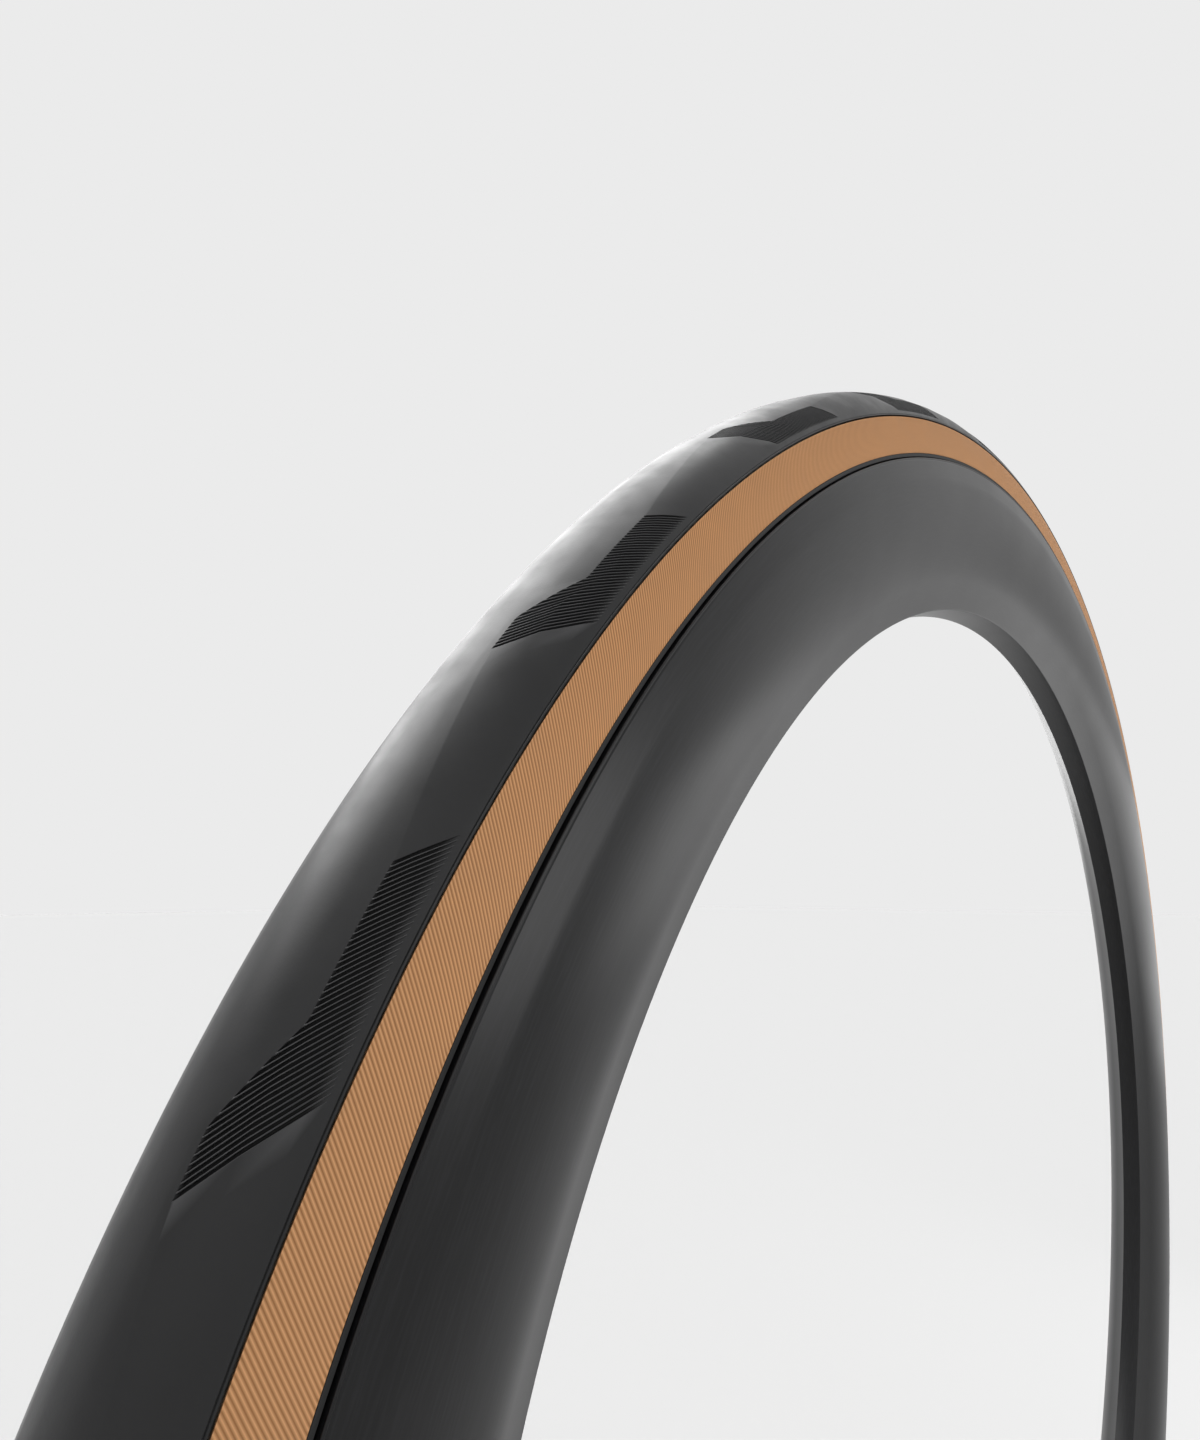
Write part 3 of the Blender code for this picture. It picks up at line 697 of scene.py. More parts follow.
def tan_rubber(finishes):
    """Moulded natural-gum rubber: warm tan on the ribs, drawn browner and darker between them as painted
    shade, a little uneven and matt.

    Its grain is too fine to show, so it is drawn coarser.
    """
    material, tree, shader, place = new_material("moulded_tan_rubber", IOR=1.5, Specular_IOR_Level=0.3)
    furrow = add_node(tree, "ShaderNodeAttribute", attribute_name="furrow")
    # Painted shade: the tan between the ribs is drawn browner and darker, standing for the shade in the
    # furrows
    base = add_node(
        tree,
        "ShaderNodeMix",
        values={6: (*finishes.tan_ridge, 1.0), 7: (*finishes.painted_furrow_shade, 1.0)},
        links={0: furrow.outputs["Fac"]},
        data_type="RGBA",
    )
    cloud = add_node(
        tree,
        "ShaderNodeTexNoise",
        values={"Scale": per_metre(6.0), "Detail": 4.0},
        links={"Vector": place.outputs["Object"]},
    )
    tone = add_node(
        tree,
        "ShaderNodeMapRange",
        values={"To Min": 0.93, "To Max": 1.07},
        links={"Value": cloud.outputs["Fac"]},
    )
    shade = add_node(
        tree, "ShaderNodeHueSaturation", links={"Value": tone.outputs[0], "Color": base.outputs[2]}
    )
    rough = add_node(
        tree,
        "ShaderNodeMapRange",
        values={"To Min": 0.55, "To Max": 0.7},
        links={"Value": cloud.outputs["Fac"]},
    )
    grain = add_node(
        tree,
        "ShaderNodeTexNoise",
        values={"Scale": per_metre(0.25), "Detail": 2.0},
        links={"Vector": place.outputs["Object"]},
    )
    feed(tree, shader, shade.outputs[0], rough.outputs[0], grain.outputs["Fac"], 0.015)
    return material


def composite(finishes):
    """Carbon fibre composite under satin lacquer: near black, an even sheen and faint slanted fibre streaks.

    A single fibre is too fine to show, so the streaks are bundles of them.
    """
    material, tree, shader, place = new_material("satin_fibre_composite", IOR=1.5, Specular_IOR_Level=0.25)
    lay = add_node(
        tree,
        "ShaderNodeMapping",
        values={"Rotation": (0.0, 0.0, math.radians(40.0)), "Scale": (0.06, 1.0, 1.0)},
        links={"Vector": place.outputs["UV"]},
    )
    fibre = add_node(
        tree,
        "ShaderNodeTexNoise",
        values={"Scale": per_metre(0.5), "Detail": 4.0, "Roughness": 0.55},
        links={"Vector": lay.outputs["Vector"]},
    )
    streak = add_node(
        tree,
        "ShaderNodeMapRange",
        values={"From Min": 0.45, "From Max": 0.8},
        links={"Value": fibre.outputs["Fac"]},
    )
    shade = add_node(
        tree,
        "ShaderNodeMix",
        values={6: (*finishes.rim, 1.0), 7: (*finishes.rim_fibre, 1.0)},
        links={0: streak.outputs[0]},
        data_type="RGBA",
    )
    cloud = add_node(
        tree,
        "ShaderNodeTexNoise",
        values={"Scale": per_metre(25.0), "Detail": 3.0},
        links={"Vector": place.outputs["Object"]},
    )
    rough = add_node(
        tree,
        "ShaderNodeMapRange",
        values={"To Min": 0.29, "To Max": 0.37},
        links={"Value": cloud.outputs["Fac"]},
    )
    feed(tree, shader, shade.outputs[2], rough.outputs[0], fibre.outputs["Fac"], 0.004)
    return material


def grained(name, tint, rough_low, rough_high, grain_mm, depth_mm, **values):
    """A moulded or machined surface: its colour a little uneven, with a grain in its roughness and its bump.

    The real grain is too fine to show, so it is drawn as coarse as the given size.
    """
    material, tree, shader, place = new_material(name, **values)
    cloud = add_node(
        tree,
        "ShaderNodeTexNoise",
        values={"Scale": per_metre(grain_mm * 12), "Detail": 4.0},
        links={"Vector": place.outputs["Object"]},
    )
    grain = add_node(
        tree,
        "ShaderNodeTexNoise",
        values={"Scale": per_metre(grain_mm), "Detail": 3.0},
        links={"Vector": place.outputs["Object"]},
    )
    tone = add_node(
        tree,
        "ShaderNodeMapRange",
        values={"To Min": 0.85, "To Max": 1.15},
        links={"Value": cloud.outputs["Fac"]},
    )
    shade = add_node(
        tree, "ShaderNodeHueSaturation", values={"Color": (*tint, 1.0)}, links={"Value": tone.outputs[0]}
    )
    rough = add_node(
        tree,
        "ShaderNodeMapRange",
        values={"To Min": rough_low, "To Max": rough_high},
        links={"Value": grain.outputs["Fac"]},
    )
    feed(tree, shader, shade.outputs[0], rough.outputs[0], grain.outputs["Fac"], depth_mm)
    return material


def corded(name, tint, cord_mm, lean):
    """Parallel cords under a skin of rubber or resin: raised lines at a slant, darker and duller between them.

    The wave repeats when its phase has grown by 2 pi, so the lines lie about six times as far apart as the
    given size of the cords, which are too fine to show.
    """
    material, tree, shader, place = new_material(name, IOR=1.5)
    lay = add_node(
        tree,
        "ShaderNodeMapping",
        values={"Rotation": (0.0, 0.0, math.radians(lean))},
        links={"Vector": place.outputs["UV"]},
    )
    cords = add_node(
        tree,
        "ShaderNodeTexWave",
        values={"Scale": per_metre(cord_mm) / WAVE_UNIT, "Distortion": 0.4, "Detail": 1.0},
        links={"Vector": lay.outputs["Vector"]},
        bands_direction="Y",
    )
    tone = add_node(
        tree,
        "ShaderNodeMapRange",
        values={"To Min": 0.55, "To Max": 1.0},
        links={"Value": cords.outputs["Fac"]},
    )
    shade = add_node(
        tree, "ShaderNodeHueSaturation", values={"Color": (*tint, 1.0)}, links={"Value": tone.outputs[0]}
    )
    rough = add_node(
        tree,
        "ShaderNodeMapRange",
        values={"To Min": 0.85, "To Max": 0.65},
        links={"Value": cords.outputs["Fac"]},
    )
    feed(tree, shader, shade.outputs[0], rough.outputs[0], cords.outputs["Fac"], 0.1)
    return material


def field_top(tyre, along):
    """How far from the crown a groove starts, by its place along a repeat; both in millimetres."""
    span = 2 * math.pi * (tyre.bead_seat_radius + tyre.height) / tyre.fields / MM
    end = tyre.grooves * tyre.groove_pitch / MM
    outline = [
        (0.0, FIELD_HIGH),
        (FIELD_SLOPE[0], FIELD_HIGH),
        (FIELD_SLOPE[1], FIELD_NARROW),
        (end, FIELD_NARROW),
        (span, FIELD_HIGH),
    ]
    for (a0, t0), (a1, t1) in zip(outline, outline[1:]):
        if along <= a1 + ROUNDING:
            return t0 + (t1 - t0) * (along - a0) / (a1 - a0)
    return outline[-1][1]


def tread_slice(tyre):
    """One repeat of the tread: a closed strip whose columns run along the grooves of its two fields.

    The crown and the inside have one column for each groove, and the fields four. The groove attribute is 1 in
    a groove, -1 on the thin ridge beside it, a small share in the mould line and 0 elsewhere; the material
    paints shade by it where it is above 0, and a highlight where it is -1.
    """
    reach = tyre.bead_seat_radius + tyre.height
    centre = crown_centre(tyre)
    span = 2 * math.pi * reach / tyre.fields / MM
    pitch = tyre.groove_pitch / MM
    columns = []
    for groove in range(tyre.grooves):
        for share, cut in GROOVE_COLUMNS:
            columns.append(((groove + share) * pitch, cut, share == 0.0))
    end = tyre.grooves * pitch
    columns += [(end + (span - end) * i / PLAIN_COLUMNS, 0.0, True) for i in range(PLAIN_COLUMNS + 1)]
    edge = tyre.tread_edge * tyre.crown_arc / MM
    line = edge - tyre.edge_line / MM
    line_half = tyre.edge_line_half / MM
    line_cut = tyre.edge_line_depth / tyre.groove_depth
    inner_centre, inner_radius, inner_end = under_tread(tyre)
    points = []
    depths = []

    def turn_at(along, across):
        """Angle about the axle of a place along and across the tread."""
        shift = tyre.groove_slant * (max(across, CROWN_OUTER) - FIELD_HIGH)
        return tyre.field_turn - (along + shift) * MM / reach

    def add(radius, side, turn, depth=0.0):
        """Adds a point with its groove attribute and returns its number."""
        points.append(about_axle(radius, side, turn))
        depths.append(depth)
        return len(points) - 1

    def on_crown(along, across, sign, cut):
        """Adds a point of the outside, sunk where it is cut, and returns its number."""
        depth = max(cut, 0.0) * tyre.groove_depth
        radius, side = on_arc(centre, tyre.crown_arc - depth, across * MM / tyre.crown_arc)
        return add(radius, sign * side, turn_at(along, across), cut)

    outer = []
    crown = []
    inside = []
    for along, cut, full in columns:
        top = field_top(tyre, along)
        low = top + GROOVE_START
        rows = [(top, 0.0), (low, cut), ((low + RUN_OUT_START) / 2, cut)]
        rows += [(RUN_OUT_START, cut * RUN_OUT_DEPTH), (RUN_OUT_END, 0.0)]
        rows += [(line - line_half, 0.0), (line, line_cut), (line + line_half, 0.0), (edge, 0.0)]
        outer.append([[on_crown(along, across, sign, share) for across, share in rows] for sign in (-1, 1)])
        if full:
            across = ((CROWN_OUTER + top) / 2, CROWN_OUTER, CROWN_INNER)
            crown.append([[on_crown(along, a, sign, 0.0) for a in across] for sign in (-1, 1)])
            under = []
            for share in (-1.0, -0.5, 0.5, 1.0):
                radius, side = on_arc(inner_centre, inner_radius, inner_end * share)
                under.append(add(radius, side, turn_at(along, abs(share) * edge)))
            inside.append(under)
        else:
            crown.append(None)
            inside.append(None)
    faces = []
    for near, far in zip(outer, outer[1:]):
        for side in (0, 1):
            for row in range(len(near[side]) - 1):
                faces.append((near[side][row], far[side][row], far[side][row + 1], near[side][row + 1]))
    whole = [i for i, column in enumerate(columns) if column[2]]
    for near, far in zip(whole, whole[1:]):
        for side in (0, 1):
            tops = [outer[i][side][0] for i in range(near, far + 1)]
            edges = [outer[i][side][-1] for i in range(near, far + 1)]
            faces.append((crown[near][side][0], *tops, crown[far][side][0]))
            for row in (0, 1):
                a, b = crown[near][side], crown[far][side]
                faces.append((a[row + 1], a[row], b[row], b[row + 1]))
            under = (0, -1)[side]
            faces.append((*edges, inside[far][under], inside[near][under]))
        faces.append((crown[near][0][2], crown[near][1][2], crown[far][1][2], crown[far][0][2]))
        for row in range(3):
            faces.append((inside[near][row], inside[near][row + 1], inside[far][row + 1], inside[far][row]))
    mesh = new_mesh("tread_slice", points, faces)
    mesh.attributes.new("groove", "FLOAT", "POINT").data.foreach_set("value", depths)
    return mesh


def strip_faces(spans, count):
    """Faces between columns of points that stand side by side, each column closed on itself."""
    faces = []
    for near in range(0, spans * count, count):
        far = near + count
        for row in range(count):
            after = (row + 1) % count
            faces.append((near + row, near + after, far + after, far + row))
    return faces


def sidewall_slice(tyre, sign):
    """One repeat of a tan sidewall: a closed strip whose columns run along its slanted ribs.

    The furrow attribute is 1 between two ribs and 0 elsewhere; the tan material paints shade by it.
    """
    centre, first, last = sidewall_arc(tyre)
    middle = on_arc(centre, tyre.sidewall_arc, (first + last) / 2)[0]
    step = 2 * math.pi / tyre.fields / (2 * tyre.ribs)
    points = []
    furrows = []

    def add(column, down, depth, furrow):
        """Adds a point of a column, at a share down the sidewall and a depth below its outside."""
        radius, side = on_arc(centre, tyre.sidewall_arc - depth, first + (last - first) * down)
        slant = tyre.rib_slant * down * tyre.sidewall_width / middle
        points.append(about_axle(radius, sign * side, column * step + slant))
        furrows.append(furrow)

    for column in range(2 * tyre.ribs + 1):
        furrow = float(column % 2)
        for down in RIB_ROWS:
            add(column, down, furrow * tyre.rib_depth if 0.0 < down < 1.0 else 0.0, furrow)
        for down in INSIDE_ROWS:
            add(column, down, tyre.sidewall, 0.0)
    faces = strip_faces(2 * tyre.ribs, len(RIB_ROWS) + len(INSIDE_ROWS))
    mesh = new_mesh("sidewall_slice", points, faces)
    mesh.attributes.new("furrow", "FLOAT", "POINT").data.foreach_set("value", furrows)
    return mesh


def grip_slice(outline, grips, groove, top, bottom):
    """One grip ridge of a knurled piece on the valve's axis, from its closed outline.

    Points of the outline at its largest radius, between two heights, step in by the groove's depth beside the
    ridge.
    """
    reach = max(radius for radius, _ in outline)
    step = 2 * math.pi / grips
    points = []
    for share, grooved in GRIP_COLUMNS:
        for radius, height in outline:
            held = radius > reach - SAME_RADIUS and bottom <= height <= top
            sunk = groove if grooved and held else 0.0
            points.append(about_valve(radius - sunk, height, (share - GRIP_MIDDLE) * step))
    return new_mesh("grip_slice", points, strip_faces(len(GRIP_COLUMNS) - 1, len(outline)))


def threaded(outline, pitch):
    """A closed outline with enough rows in its straight stretches to take a thread."""
    rows = []
    for (r0, h0), (r1, h1) in zip(outline, outline[1:] + outline[:1]):
        rows.append((r0, h0))
        if r0 == r1 and abs(h1 - h0) > pitch:
            count = int(abs(h1 - h0) / pitch * THREAD_ROWS)
            rows += [(r0, h0 + (h1 - h0) * i / count) for i in range(1, count)]
    return rows


def cut_thread(mesh, radius, start, end, pitch, depth):
    """Presses a helical thread into the points at a radius about the valve's axis, between two heights."""
    for vertex in mesh.vertices:
        x, y, height = vertex.co
        if abs(math.hypot(x, y) - radius) < SAME_RADIUS and start <= height <= end:
            share = (height / pitch - math.atan2(y, x) / (2 * math.pi)) % 1.0
            fade = min(1.0, (height - start) / pitch, (end - height) / pitch)
            sunk = depth * fade * abs(2 * share - 1)
            vertex.co.x *= (radius - sunk) / radius
            vertex.co.y *= (radius - sunk) / radius
    mesh.update()


def heights(node):
    """Lowest and highest point of a node on the valve's axis, and its largest radius."""
    low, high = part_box(node)
    return low.z, high.z, high.x


def ring_outline(bore, radius, low, high, soft):
    """A ring's closed outline with its outer edges rounded."""
    return [
        (bore, low),
        *bend((radius - soft, low), (radius, low), (radius, low + soft), 4),
        *bend((radius, high - soft), (radius, high), (radius - soft, high), 4),
        (bore, high),
    ]


class ROADTYRE_OT_stage(bpy.types.Operator):
    """Sets up the camera, the pale floor and backdrop and the soft studio light"""

    bl_idname = "road_tyre.stage"
    bl_label = "Stage"

    def execute(self, context):
        scene = context.scene
        stage = scene.tyre_stage
        scene.view_settings.view_transform = "Standard"
        self.add_camera(scene, stage)
        self.add_floor(scene, stage)
        self.add_world(scene, stage)
        # Name, direction that it comes from (turn from +Y towards +X, then height), strength and spread
        lamps = (
            ("key_light", 4.0, 58.0, 3.1, 70.0),
            ("top_light", -38.0, 54.0, 1.5, 56.0),
            ("fill_light", -138.0, 22.0, 0.5, 80.0),
            ("side_light", 157.0, 9.0, 0.85, 29.0),
            ("rear_light", 46.0, 8.0, 1.1, 44.0),
        )
        for name, turn, height, strength, spread in lamps:
            toward = self.direction(math.radians(turn), math.radians(height))
            self.add_lamp(scene, name, toward, strength, math.radians(spread))
        # Name, place, side in metres and strength in watts
        panels = (
            ("near_panel", (0.73, -0.44, 0.1), 0.36, 0.45),
            ("far_panel", (0.95, -0.2, 0.12), 0.4, 0.4),
        )
        lit = Vector((0.2, -0.02, 0.2))
        for name, place, side, strength in panels:
            self.add_panel(scene, name, Vector(place), lit, side, strength)
        return {"FINISHED"}

    def add_camera(self, scene, stage):
        """The camera, close to the wheel with a wide lens."""
        data = bpy.data.cameras.new("camera")
        data.sensor_fit = "AUTO"
        data.sensor_width = 36.0
        data.lens = stage.lens
        data.shift_y = stage.frame_shift
        data.clip_start = 0.005
        camera = bpy.data.objects.new("camera", data)
        scene.collection.objects.link(camera)
        camera.location = stage.camera_place
        look = self.direction(stage.camera_turn, stage.camera_tilt)
        camera.rotation_euler = look.to_track_quat("-Z", "Y").to_euler()
        scene.camera = camera

    def add_floor(self, scene, stage):
        """The floor that the tread stands on, of matt paper: pale, even and without shine."""
        half = 20.0
        level = -(scene.tyre_sizes.bead_seat_radius + scene.tyre_sizes.height)
        corners = [(-half, -half, level), (half, -half, level), (half, half, level), (-half, half, level)]
        floor = bpy.data.objects.new("floor", new_mesh("floor", corners, [(0, 1, 2, 3)]))
        scene.collection.objects.link(floor)
        material, _, shader, _ = new_material("matt_paper_floor", Roughness=1.0, Specular_IOR_Level=0.0)
        shader.inputs["Base Color"].default_value = (*stage.floor, 1.0)
        floor.data.materials.append(material)

    def add_world(self, scene, stage):
        """Even light from all round, with the backdrop's colour where the camera or a shine sees it."""
        world = bpy.data.worlds.new("studio")
        world.use_nodes = True
        scene.world = world
        tree = world.node_tree
        tree.nodes.clear()
        rays = add_node(tree, "ShaderNodeLightPath")
        shiny = add_node(
            tree,
            "ShaderNodeMath",
            links={0: rays.outputs["Is Camera Ray"], 1: rays.outputs["Is Glossy Ray"]},
            operation="MAXIMUM",
        )
        seen = add_node(
            tree,
            "ShaderNodeMath",
            links={0: shiny.outputs[0], 1: rays.outputs["Is Transmission Ray"]},
            operation="MAXIMUM",
        )
        light = add_node(
            tree,
            "ShaderNodeBackground",
            values={"Color": (1.0, 1.0, 1.0, 1.0), "Strength": stage.world_light},
        )
        backdrop = add_node(tree, "ShaderNodeBackground", values={"Color": (*stage.backdrop, 1.0)})
        mixed = add_node(
            tree,
            "ShaderNodeMixShader",
            links={0: seen.outputs[0], 1: light.outputs[0], 2: backdrop.outputs[0]},
        )
        add_node(tree, "ShaderNodeOutputWorld", links={"Surface": mixed.outputs[0]})

    def add_lamp(self, scene, name, toward, strength, spread):
        """A wide, soft sun that stands in a direction from the wheel."""
        data = bpy.data.lights.new(name, "SUN")
        data.energy = strength
        data.angle = spread
        lamp = bpy.data.objects.new(name, data)
        scene.collection.objects.link(lamp)
        lamp.rotation_euler = toward.to_track_quat("Z", "Y").to_euler()

    def add_panel(self, scene, name, place, aim, side, strength):
        """A square soft panel beside the wheel, facing a point of it."""
        data = bpy.data.lights.new(name, "AREA")
        data.size = side
        data.energy = strength
        lamp = bpy.data.objects.new(name, data)
        scene.collection.objects.link(lamp)
        lamp.location = place
        lamp.rotation_euler = (place - aim).to_track_quat("Z", "Y").to_euler()
        lamp.visible_camera = False

    def direction(self, turn, height):
        """The direction at an angle from +Y towards +X and at an angle above the floor."""
        level = math.cos(height)
        return Vector((math.sin(turn) * level, math.cos(turn) * level, math.sin(height)))


class ROADTYRE_OT_tread(bpy.types.Operator):
    """Builds the tread with its fields of slanted grooves"""

    bl_idname = "road_tyre.tread"
    bl_label = "Tread"

    def execute(self, context):
        tyre = context.scene.tyre_sizes
        material = tread_rubber(context.scene.tyre_finishes)
        mesh = repeated("tread_grooved", tread_slice(tyre), tyre.fields, AXLE, material)
        finished("tread_grooved", mesh, material, "tread", "wheel", sharp=32.0)
        return {"FINISHED"}


class ROADTYRE_OT_sidewalls(bpy.types.Operator):
    """Builds the two tan sidewalls with their slanted ribs"""

    bl_idname = "road_tyre.sidewalls"
    bl_label = "Sidewalls"

    def execute(self, context):
        tyre = context.scene.tyre_sizes
        material = tan_rubber(context.scene.tyre_finishes)
        for side, sign in (("left", -1.0), ("right", 1.0)):
            name = "sidewall_" + side + "_ribbed"
            mesh = repeated(name, sidewall_slice(tyre, sign), tyre.fields, AXLE, material)
            finished(name, mesh, material, "sidewall_" + side, "wheel", sharp=60.0)
        return {"FINISHED"}


class ROADTYRE_OT_carcass(bpy.types.Operator):
    """Builds the chafers and the hidden layers: ply, belt and bead cores"""

    bl_idname = "road_tyre.carcass"
    bl_label = "Carcass"

    def execute(self, context):
        scene = context.scene
        tyre, rim, finishes = scene.tyre_sizes, scene.rim_sizes, scene.tyre_finishes
        # Rubber moulded against fabric: dull black, almost without a highlight
        strip = grained(
            "matt_chafer_rubber", finishes.chafer, 0.6, 0.75, 0.3, 0.02, IOR=1.5, Specular_IOR_Level=0.35
        )
        # Twisted aramid in resin: golden lines
        aramid = corded("aramid_cord", finishes.aramid, 0.5, 30.0)
        # Nylon cord calendered with rubber: brownish grey lines
        ply = corded("rubberised_nylon_ply", finishes.ply, 0.35, 45.0)
        core, _ = bead_centre(tyre, rim)
        round_core = arc(core, tyre.bead_core, 0.0, 2 * math.pi * (BEAD_SIDES - 1) / BEAD_SIDES, BEAD_SIDES)
        for side, turn in (("left", mirrored), ("right", list)):
            name = "chafer_" + side + "_strip"
            mesh = turned(name, turn(chafer_section(tyre, rim)), RING_STEPS, about_axle)
            finished(name, mesh, strip, "chafer_" + side, "wheel")
            name = "bead_" + side + "_bundle"
            mesh = turned(name, turn(round_core), HIDDEN_STEPS, about_axle)
            finished(name, mesh, aramid, "bead_core_" + side, "wheel")
        mesh = turned("belt_cords", belt_section(tyre), HIDDEN_STEPS, about_axle)
        finished("belt_cords", mesh, aramid, "puncture_belt", "wheel")
        mesh = turned("casing_cords", casing_section(tyre, rim), HIDDEN_STEPS, about_axle)
        finished("casing_cords", mesh, ply, "casing_ply", "wheel")
        return {"FINISHED"}


class ROADTYRE_OT_rim(bpy.types.Operator):
    """Builds the hollow rim with its valve hole, and the tape in its channel"""

    bl_idname = "road_tyre.rim"
    bl_label = "Rim"

    def execute(self, context):
        scene = context.scene
        tyre, rim, finishes = scene.tyre_sizes, scene.rim_sizes, scene.tyre_finishes
        # Drawn polyester film: yellowish and glossy, a little wavy where it is glued down
        film = grained("polyester_tape_film", finishes.tape, 0.25, 0.4, 0.8, 0.01, IOR=1.55)
        shell = turned("rim_shell", rim_section(tyre, rim), RING_STEPS, about_axle)
        shell = self.drilled(scene, shell)
        finished("rim_shell", shell, composite(finishes), "rim", "wheel", sharp=28.0)
        tape = turned("rim_tape_film", tape_section(tyre, rim), HIDDEN_STEPS, about_axle)
        tape = self.drilled(scene, tape)
        finished("rim_tape_film", tape, film, "rim_tape", "wheel")
        return {"FINISHED"}

    def drilled(self, scene, mesh):
        """The mesh with the valve's hole through it."""
        valve, tyre = scene.valve_sizes, scene.tyre_sizes
        radius = valve.stem_radius + valve.hole_clearance
        low = -tyre.bead_seat_radius - DRILL_START
        high = low + DRILL_LENGTH
        outline = [(DRILL_CORE, low), (radius, low), (radius, high), (DRILL_CORE, high)]
        drill = bpy.data.objects.new("drill", turned("drill", outline, VALVE_STEPS, about_valve))
        blank = bpy.data.objects.new("blank", mesh)
        scene.collection.objects.link(drill)
        scene.collection.objects.link(blank)
        cut = blank.modifiers.new("Hole", "BOOLEAN")
        cut.operation = "DIFFERENCE"
        cut.solver = "EXACT"
        cut.object = drill
        bpy.context.view_layer.update()
        made = bpy.data.meshes.new_from_object(blank.evaluated_get(bpy.context.evaluated_depsgraph_get()))
        bpy.data.objects.remove(blank)
        bpy.data.objects.remove(drill)
        made.name = mesh.name
        return made


class ROADTYRE_OT_valve_stem(bpy.types.Operator):
    """Builds the threaded valve stem, its two seals and its knurled lock nut"""

    bl_idname = "road_tyre.valve_stem"
    bl_label = "Valve stem"

    def execute(self, context):
        scene = context.scene
        valve, finishes = scene.valve_sizes, scene.tyre_finishes
        # Machined aluminium under a black anodised skin: dark grey metal with a soft sheen
        alloy = grained(
            "black_anodised_aluminium", finishes.alloy, 0.28, 0.42, 0.4, 0.004, Metallic=0.85
        )
        # Moulded soft rubber: matt black
        seal = grained("moulded_seal_rubber", finishes.seal, 0.55, 0.7, 0.3, 0.01, IOR=1.5)
        low, high, foot = heights("valve_stem")
        neck = low + 2.4 * MM
        shoulder = high - valve.tip_length
        outline = [
            (valve.bore_radius, low),
            *bend((foot - 0.5 * MM, low), (foot, low), (foot, low + 0.5 * MM), 4),
            (foot, neck - 0.3 * MM),
            (foot - 0.3 * MM, neck),
            (valve.stem_radius, neck),
            (valve.stem_radius, shoulder - 0.4 * MM),
            (valve.tip_radius, shoulder),
            (valve.tip_radius, high - 0.3 * MM),
            (valve.tip_radius - 0.3 * MM, high),
            (valve.bore_radius, high),
        ]
        rows = threaded(outline, valve.stem_pitch)
        mesh = turned("valve_stem_threaded", rows, VALVE_STEPS, about_valve)
        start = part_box("valve_o_ring")[0].z - 1.0 * MM
        pitch, depth = valve.stem_pitch, valve.stem_thread_depth
        tip_depth = depth * 0.8
        cut_thread(mesh, valve.stem_radius, start, shoulder, pitch, depth)
        cut_thread(mesh, valve.tip_radius, shoulder, high, pitch, tip_depth)
        finished("valve_stem_threaded", mesh, alloy, "valve_stem", "wheel", sharp=30.0)
        bore = valve.stem_radius + 0.15 * MM
        for node in ("valve_gasket", "valve_o_ring"):
            low, high, reach = heights(node)
            ring = ring_outline(bore, reach, low, high, 0.7 * MM)
            mesh = turned(node + "_moulded", ring, VALVE_STEPS, about_valve)
            finished(node + "_moulded", mesh, seal, node, "wheel")
        low, high, reach = heights("valve_lock_nut")
        collar = low + 1.2 * MM
        collar_radius = 4.6 * MM
        edge = 0.35 * MM
        outline = [
            (bore, low),
            (collar_radius - 0.25 * MM, low),
            (collar_radius, low + 0.25 * MM),
            (collar_radius, collar),
            (reach - edge, collar),
            (reach, collar + edge),
            (reach, high - edge),
            (reach - edge, high),
            (bore + 0.3 * MM, high),
            (bore, high - 0.3 * MM),
        ]
        grip = grip_slice(outline, valve.nut_grips, 0.3 * MM, high, low)
        mesh = repeated("lock_nut_knurled", grip, valve.nut_grips, VALVE_AXIS, alloy)
        finished("lock_nut_knurled", mesh, alloy, "valve_lock_nut", "lock_nut", sharp=30.0)
        return {"FINISHED"}


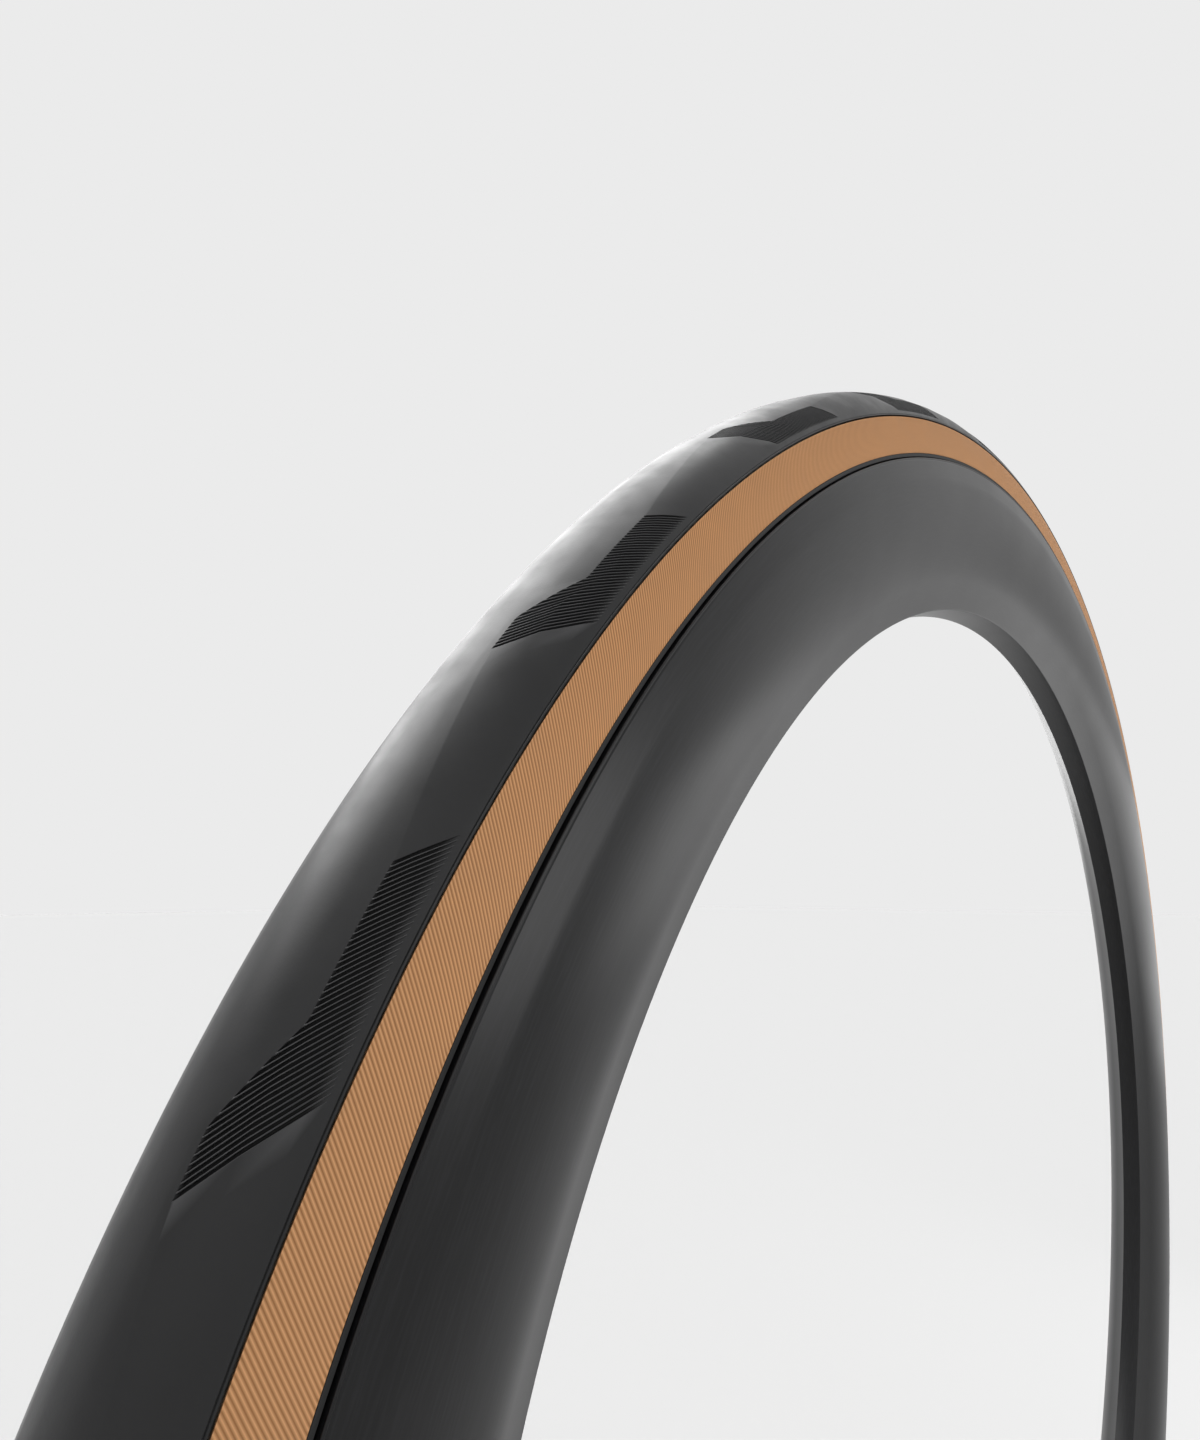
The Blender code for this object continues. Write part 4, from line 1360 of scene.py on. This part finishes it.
class ROADTYRE_OT_valve_core(bpy.types.Operator):
    """Builds the needle valve: core body, seal, pin and knurled nut"""

    bl_idname = "road_tyre.valve_core"
    bl_label = "Valve core"

    def execute(self, context):
        scene = context.scene
        valve, finishes = scene.valve_sizes, scene.tyre_finishes
        # Turned brass under nickel plate: bright, warm grey metal
        nickel = grained("nickel_plated_brass", finishes.nickel, 0.2, 0.34, 0.3, 0.003, Metallic=1.0)
        # Moulded soft rubber: matt black
        seal = grained("core_seal_rubber", finishes.seal, 0.55, 0.7, 0.3, 0.01, IOR=1.5)
        low, high, reach = heights("valve_core")
        body = valve.bore_radius - 0.15 * MM
        head = high - 3.6 * MM
        bore = 1.0 * MM
        outline = [
            (bore, low),
            (body - 0.3 * MM, low),
            (body, low + 0.3 * MM),
            (body, head),
            (reach - 0.2 * MM, head),
            (reach, head + 0.2 * MM),
            (reach, high - 0.4 * MM),
            (reach - 0.4 * MM, high),
            (bore, high),
        ]
        pitch, depth = 0.7 * MM, 0.25 * MM
        mesh = turned("core_body_turned", threaded(outline, pitch), VALVE_STEPS, about_valve)
        cut_thread(mesh, body, low, head, pitch, depth)
        # The head has two flats for a spanner
        flat = 1.95 * MM
        for vertex in mesh.vertices:
            if vertex.co.z > head + 0.1 * MM:
                vertex.co.x = max(-flat, min(flat, vertex.co.x))
        finished("core_body_turned", mesh, nickel, "valve_core", "wheel", sharp=30.0)
        low, high, reach = heights("core_seal")
        pin_bore = 0.85 * MM
        ring = ring_outline(pin_bore, reach, low, high, 0.6 * MM)
        mesh = turned("core_seal_moulded", ring, VALVE_STEPS, about_valve)
        finished("core_seal_moulded", mesh, seal, "core_seal", "wheel")
        low, high, reach = heights("core_pin")
        pin = 0.7 * MM
        outline = [
            (0.0, low),
            (reach - 0.2 * MM, low),
            (reach, low + 0.2 * MM),
            (reach, low + 0.8 * MM),
            (pin, low + 1.0 * MM),
            (pin, high - 0.2 * MM),
            (pin - 0.2 * MM, high),
            (0.0, high),
        ]
        mesh = turned("core_pin_turned", outline, VALVE_STEPS, about_valve)
        finished("core_pin_turned", mesh, nickel, "core_pin", "wheel", sharp=30.0)
        low, high, reach = heights("core_nut")
        outline = [
            (pin_bore, low),
            (reach - 0.3 * MM, low),
            (reach, low + 0.3 * MM),
            (reach, high - 0.4 * MM),
            (reach - 0.4 * MM, high),
            (pin_bore, high),
        ]
        grip = grip_slice(outline, valve.core_grips, 0.15 * MM, high, low)
        mesh = repeated("core_nut_knurled", grip, valve.core_grips, VALVE_AXIS, nickel)
        finished("core_nut_knurled", mesh, nickel, "core_nut", "needle_nut", sharp=30.0)
        return {"FINISHED"}


class ROADTYRE_OT_valve_cap(bpy.types.Operator):
    """Builds the ribbed plastic cap"""

    bl_idname = "road_tyre.valve_cap"
    bl_label = "Valve cap"

    def execute(self, context):
        scene = context.scene
        valve, finishes = scene.valve_sizes, scene.tyre_finishes
        # Injection-moulded plastic: satin black with a broad, weak highlight
        plastic = grained("moulded_cap_plastic", finishes.cap, 0.4, 0.55, 0.25, 0.01, IOR=1.5)
        low, high, reach = heights("valve_cap")
        bore = valve.tip_radius + 0.15 * MM
        roof = high - 0.95 * MM
        outline = [
            (bore, low),
            (reach - 0.2 * MM, low),
            (reach, low + 0.2 * MM),
            (reach, low + 1.2 * MM),
            (reach, high - 2.4 * MM),
            *bend((reach, high - 1.6 * MM), (reach, high), (reach - 1.9 * MM, high), 6),
            (0.0, high),
            (0.0, roof),
            (bore, roof),
        ]
        grip = grip_slice(outline, valve.cap_grips, 0.22 * MM, high - 2.0 * MM, low + 1.0 * MM)
        mesh = repeated("valve_cap_ribbed", grip, valve.cap_grips, VALVE_AXIS, plastic)
        finished("valve_cap_ribbed", mesh, plastic, "valve_cap", "cap", sharp=35.0)
        return {"FINISHED"}


class ROADTYRE_PT_sidebar(bpy.types.Panel):
    """Lists the sizes, the colours and the pieces"""

    bl_idname = "ROADTYRE_PT_sidebar"
    bl_label = "Road tyre"
    bl_space_type = "VIEW_3D"
    bl_region_type = "UI"
    bl_category = "Road tyre"

    def draw(self, context):
        for name in GROUPS:
            group = getattr(context.scene, name)
            box = self.layout.box()
            for key in group.__annotations__:
                box.prop(group, key)
        for operator in OPERATORS:
            self.layout.operator(operator.bl_idname)


GROUPS = {
    "tyre_sizes": TyreSizes,
    "rim_sizes": RimSizes,
    "valve_sizes": ValveSizes,
    "tyre_finishes": Finishes,
    "tyre_stage": StageSettings,
}
OPERATORS = (
    ROADTYRE_OT_stage,
    ROADTYRE_OT_tread,
    ROADTYRE_OT_sidewalls,
    ROADTYRE_OT_carcass,
    ROADTYRE_OT_rim,
    ROADTYRE_OT_valve_stem,
    ROADTYRE_OT_valve_core,
    ROADTYRE_OT_valve_cap,
)


def register():
    """Adds the classes and puts the groups of settings on the scene."""
    for name, group in GROUPS.items():
        bpy.utils.register_class(group)
        setattr(bpy.types.Scene, name, PointerProperty(type=group))
    for operator in OPERATORS:
        bpy.utils.register_class(operator)
    bpy.utils.register_class(ROADTYRE_PT_sidebar)


def unregister():
    """Takes away what register added."""
    bpy.utils.unregister_class(ROADTYRE_PT_sidebar)
    for operator in reversed(OPERATORS):
        bpy.utils.unregister_class(operator)
    for name, group in GROUPS.items():
        delattr(bpy.types.Scene, name)
        bpy.utils.unregister_class(group)


def main():
    """Builds the stage and every piece."""
    register()
    bpy.ops.road_tyre.stage()
    bpy.ops.road_tyre.tread()
    bpy.ops.road_tyre.sidewalls()
    bpy.ops.road_tyre.carcass()
    bpy.ops.road_tyre.rim()
    bpy.ops.road_tyre.valve_stem()
    bpy.ops.road_tyre.valve_core()
    bpy.ops.road_tyre.valve_cap()


if __name__ == "__main__":
    main()
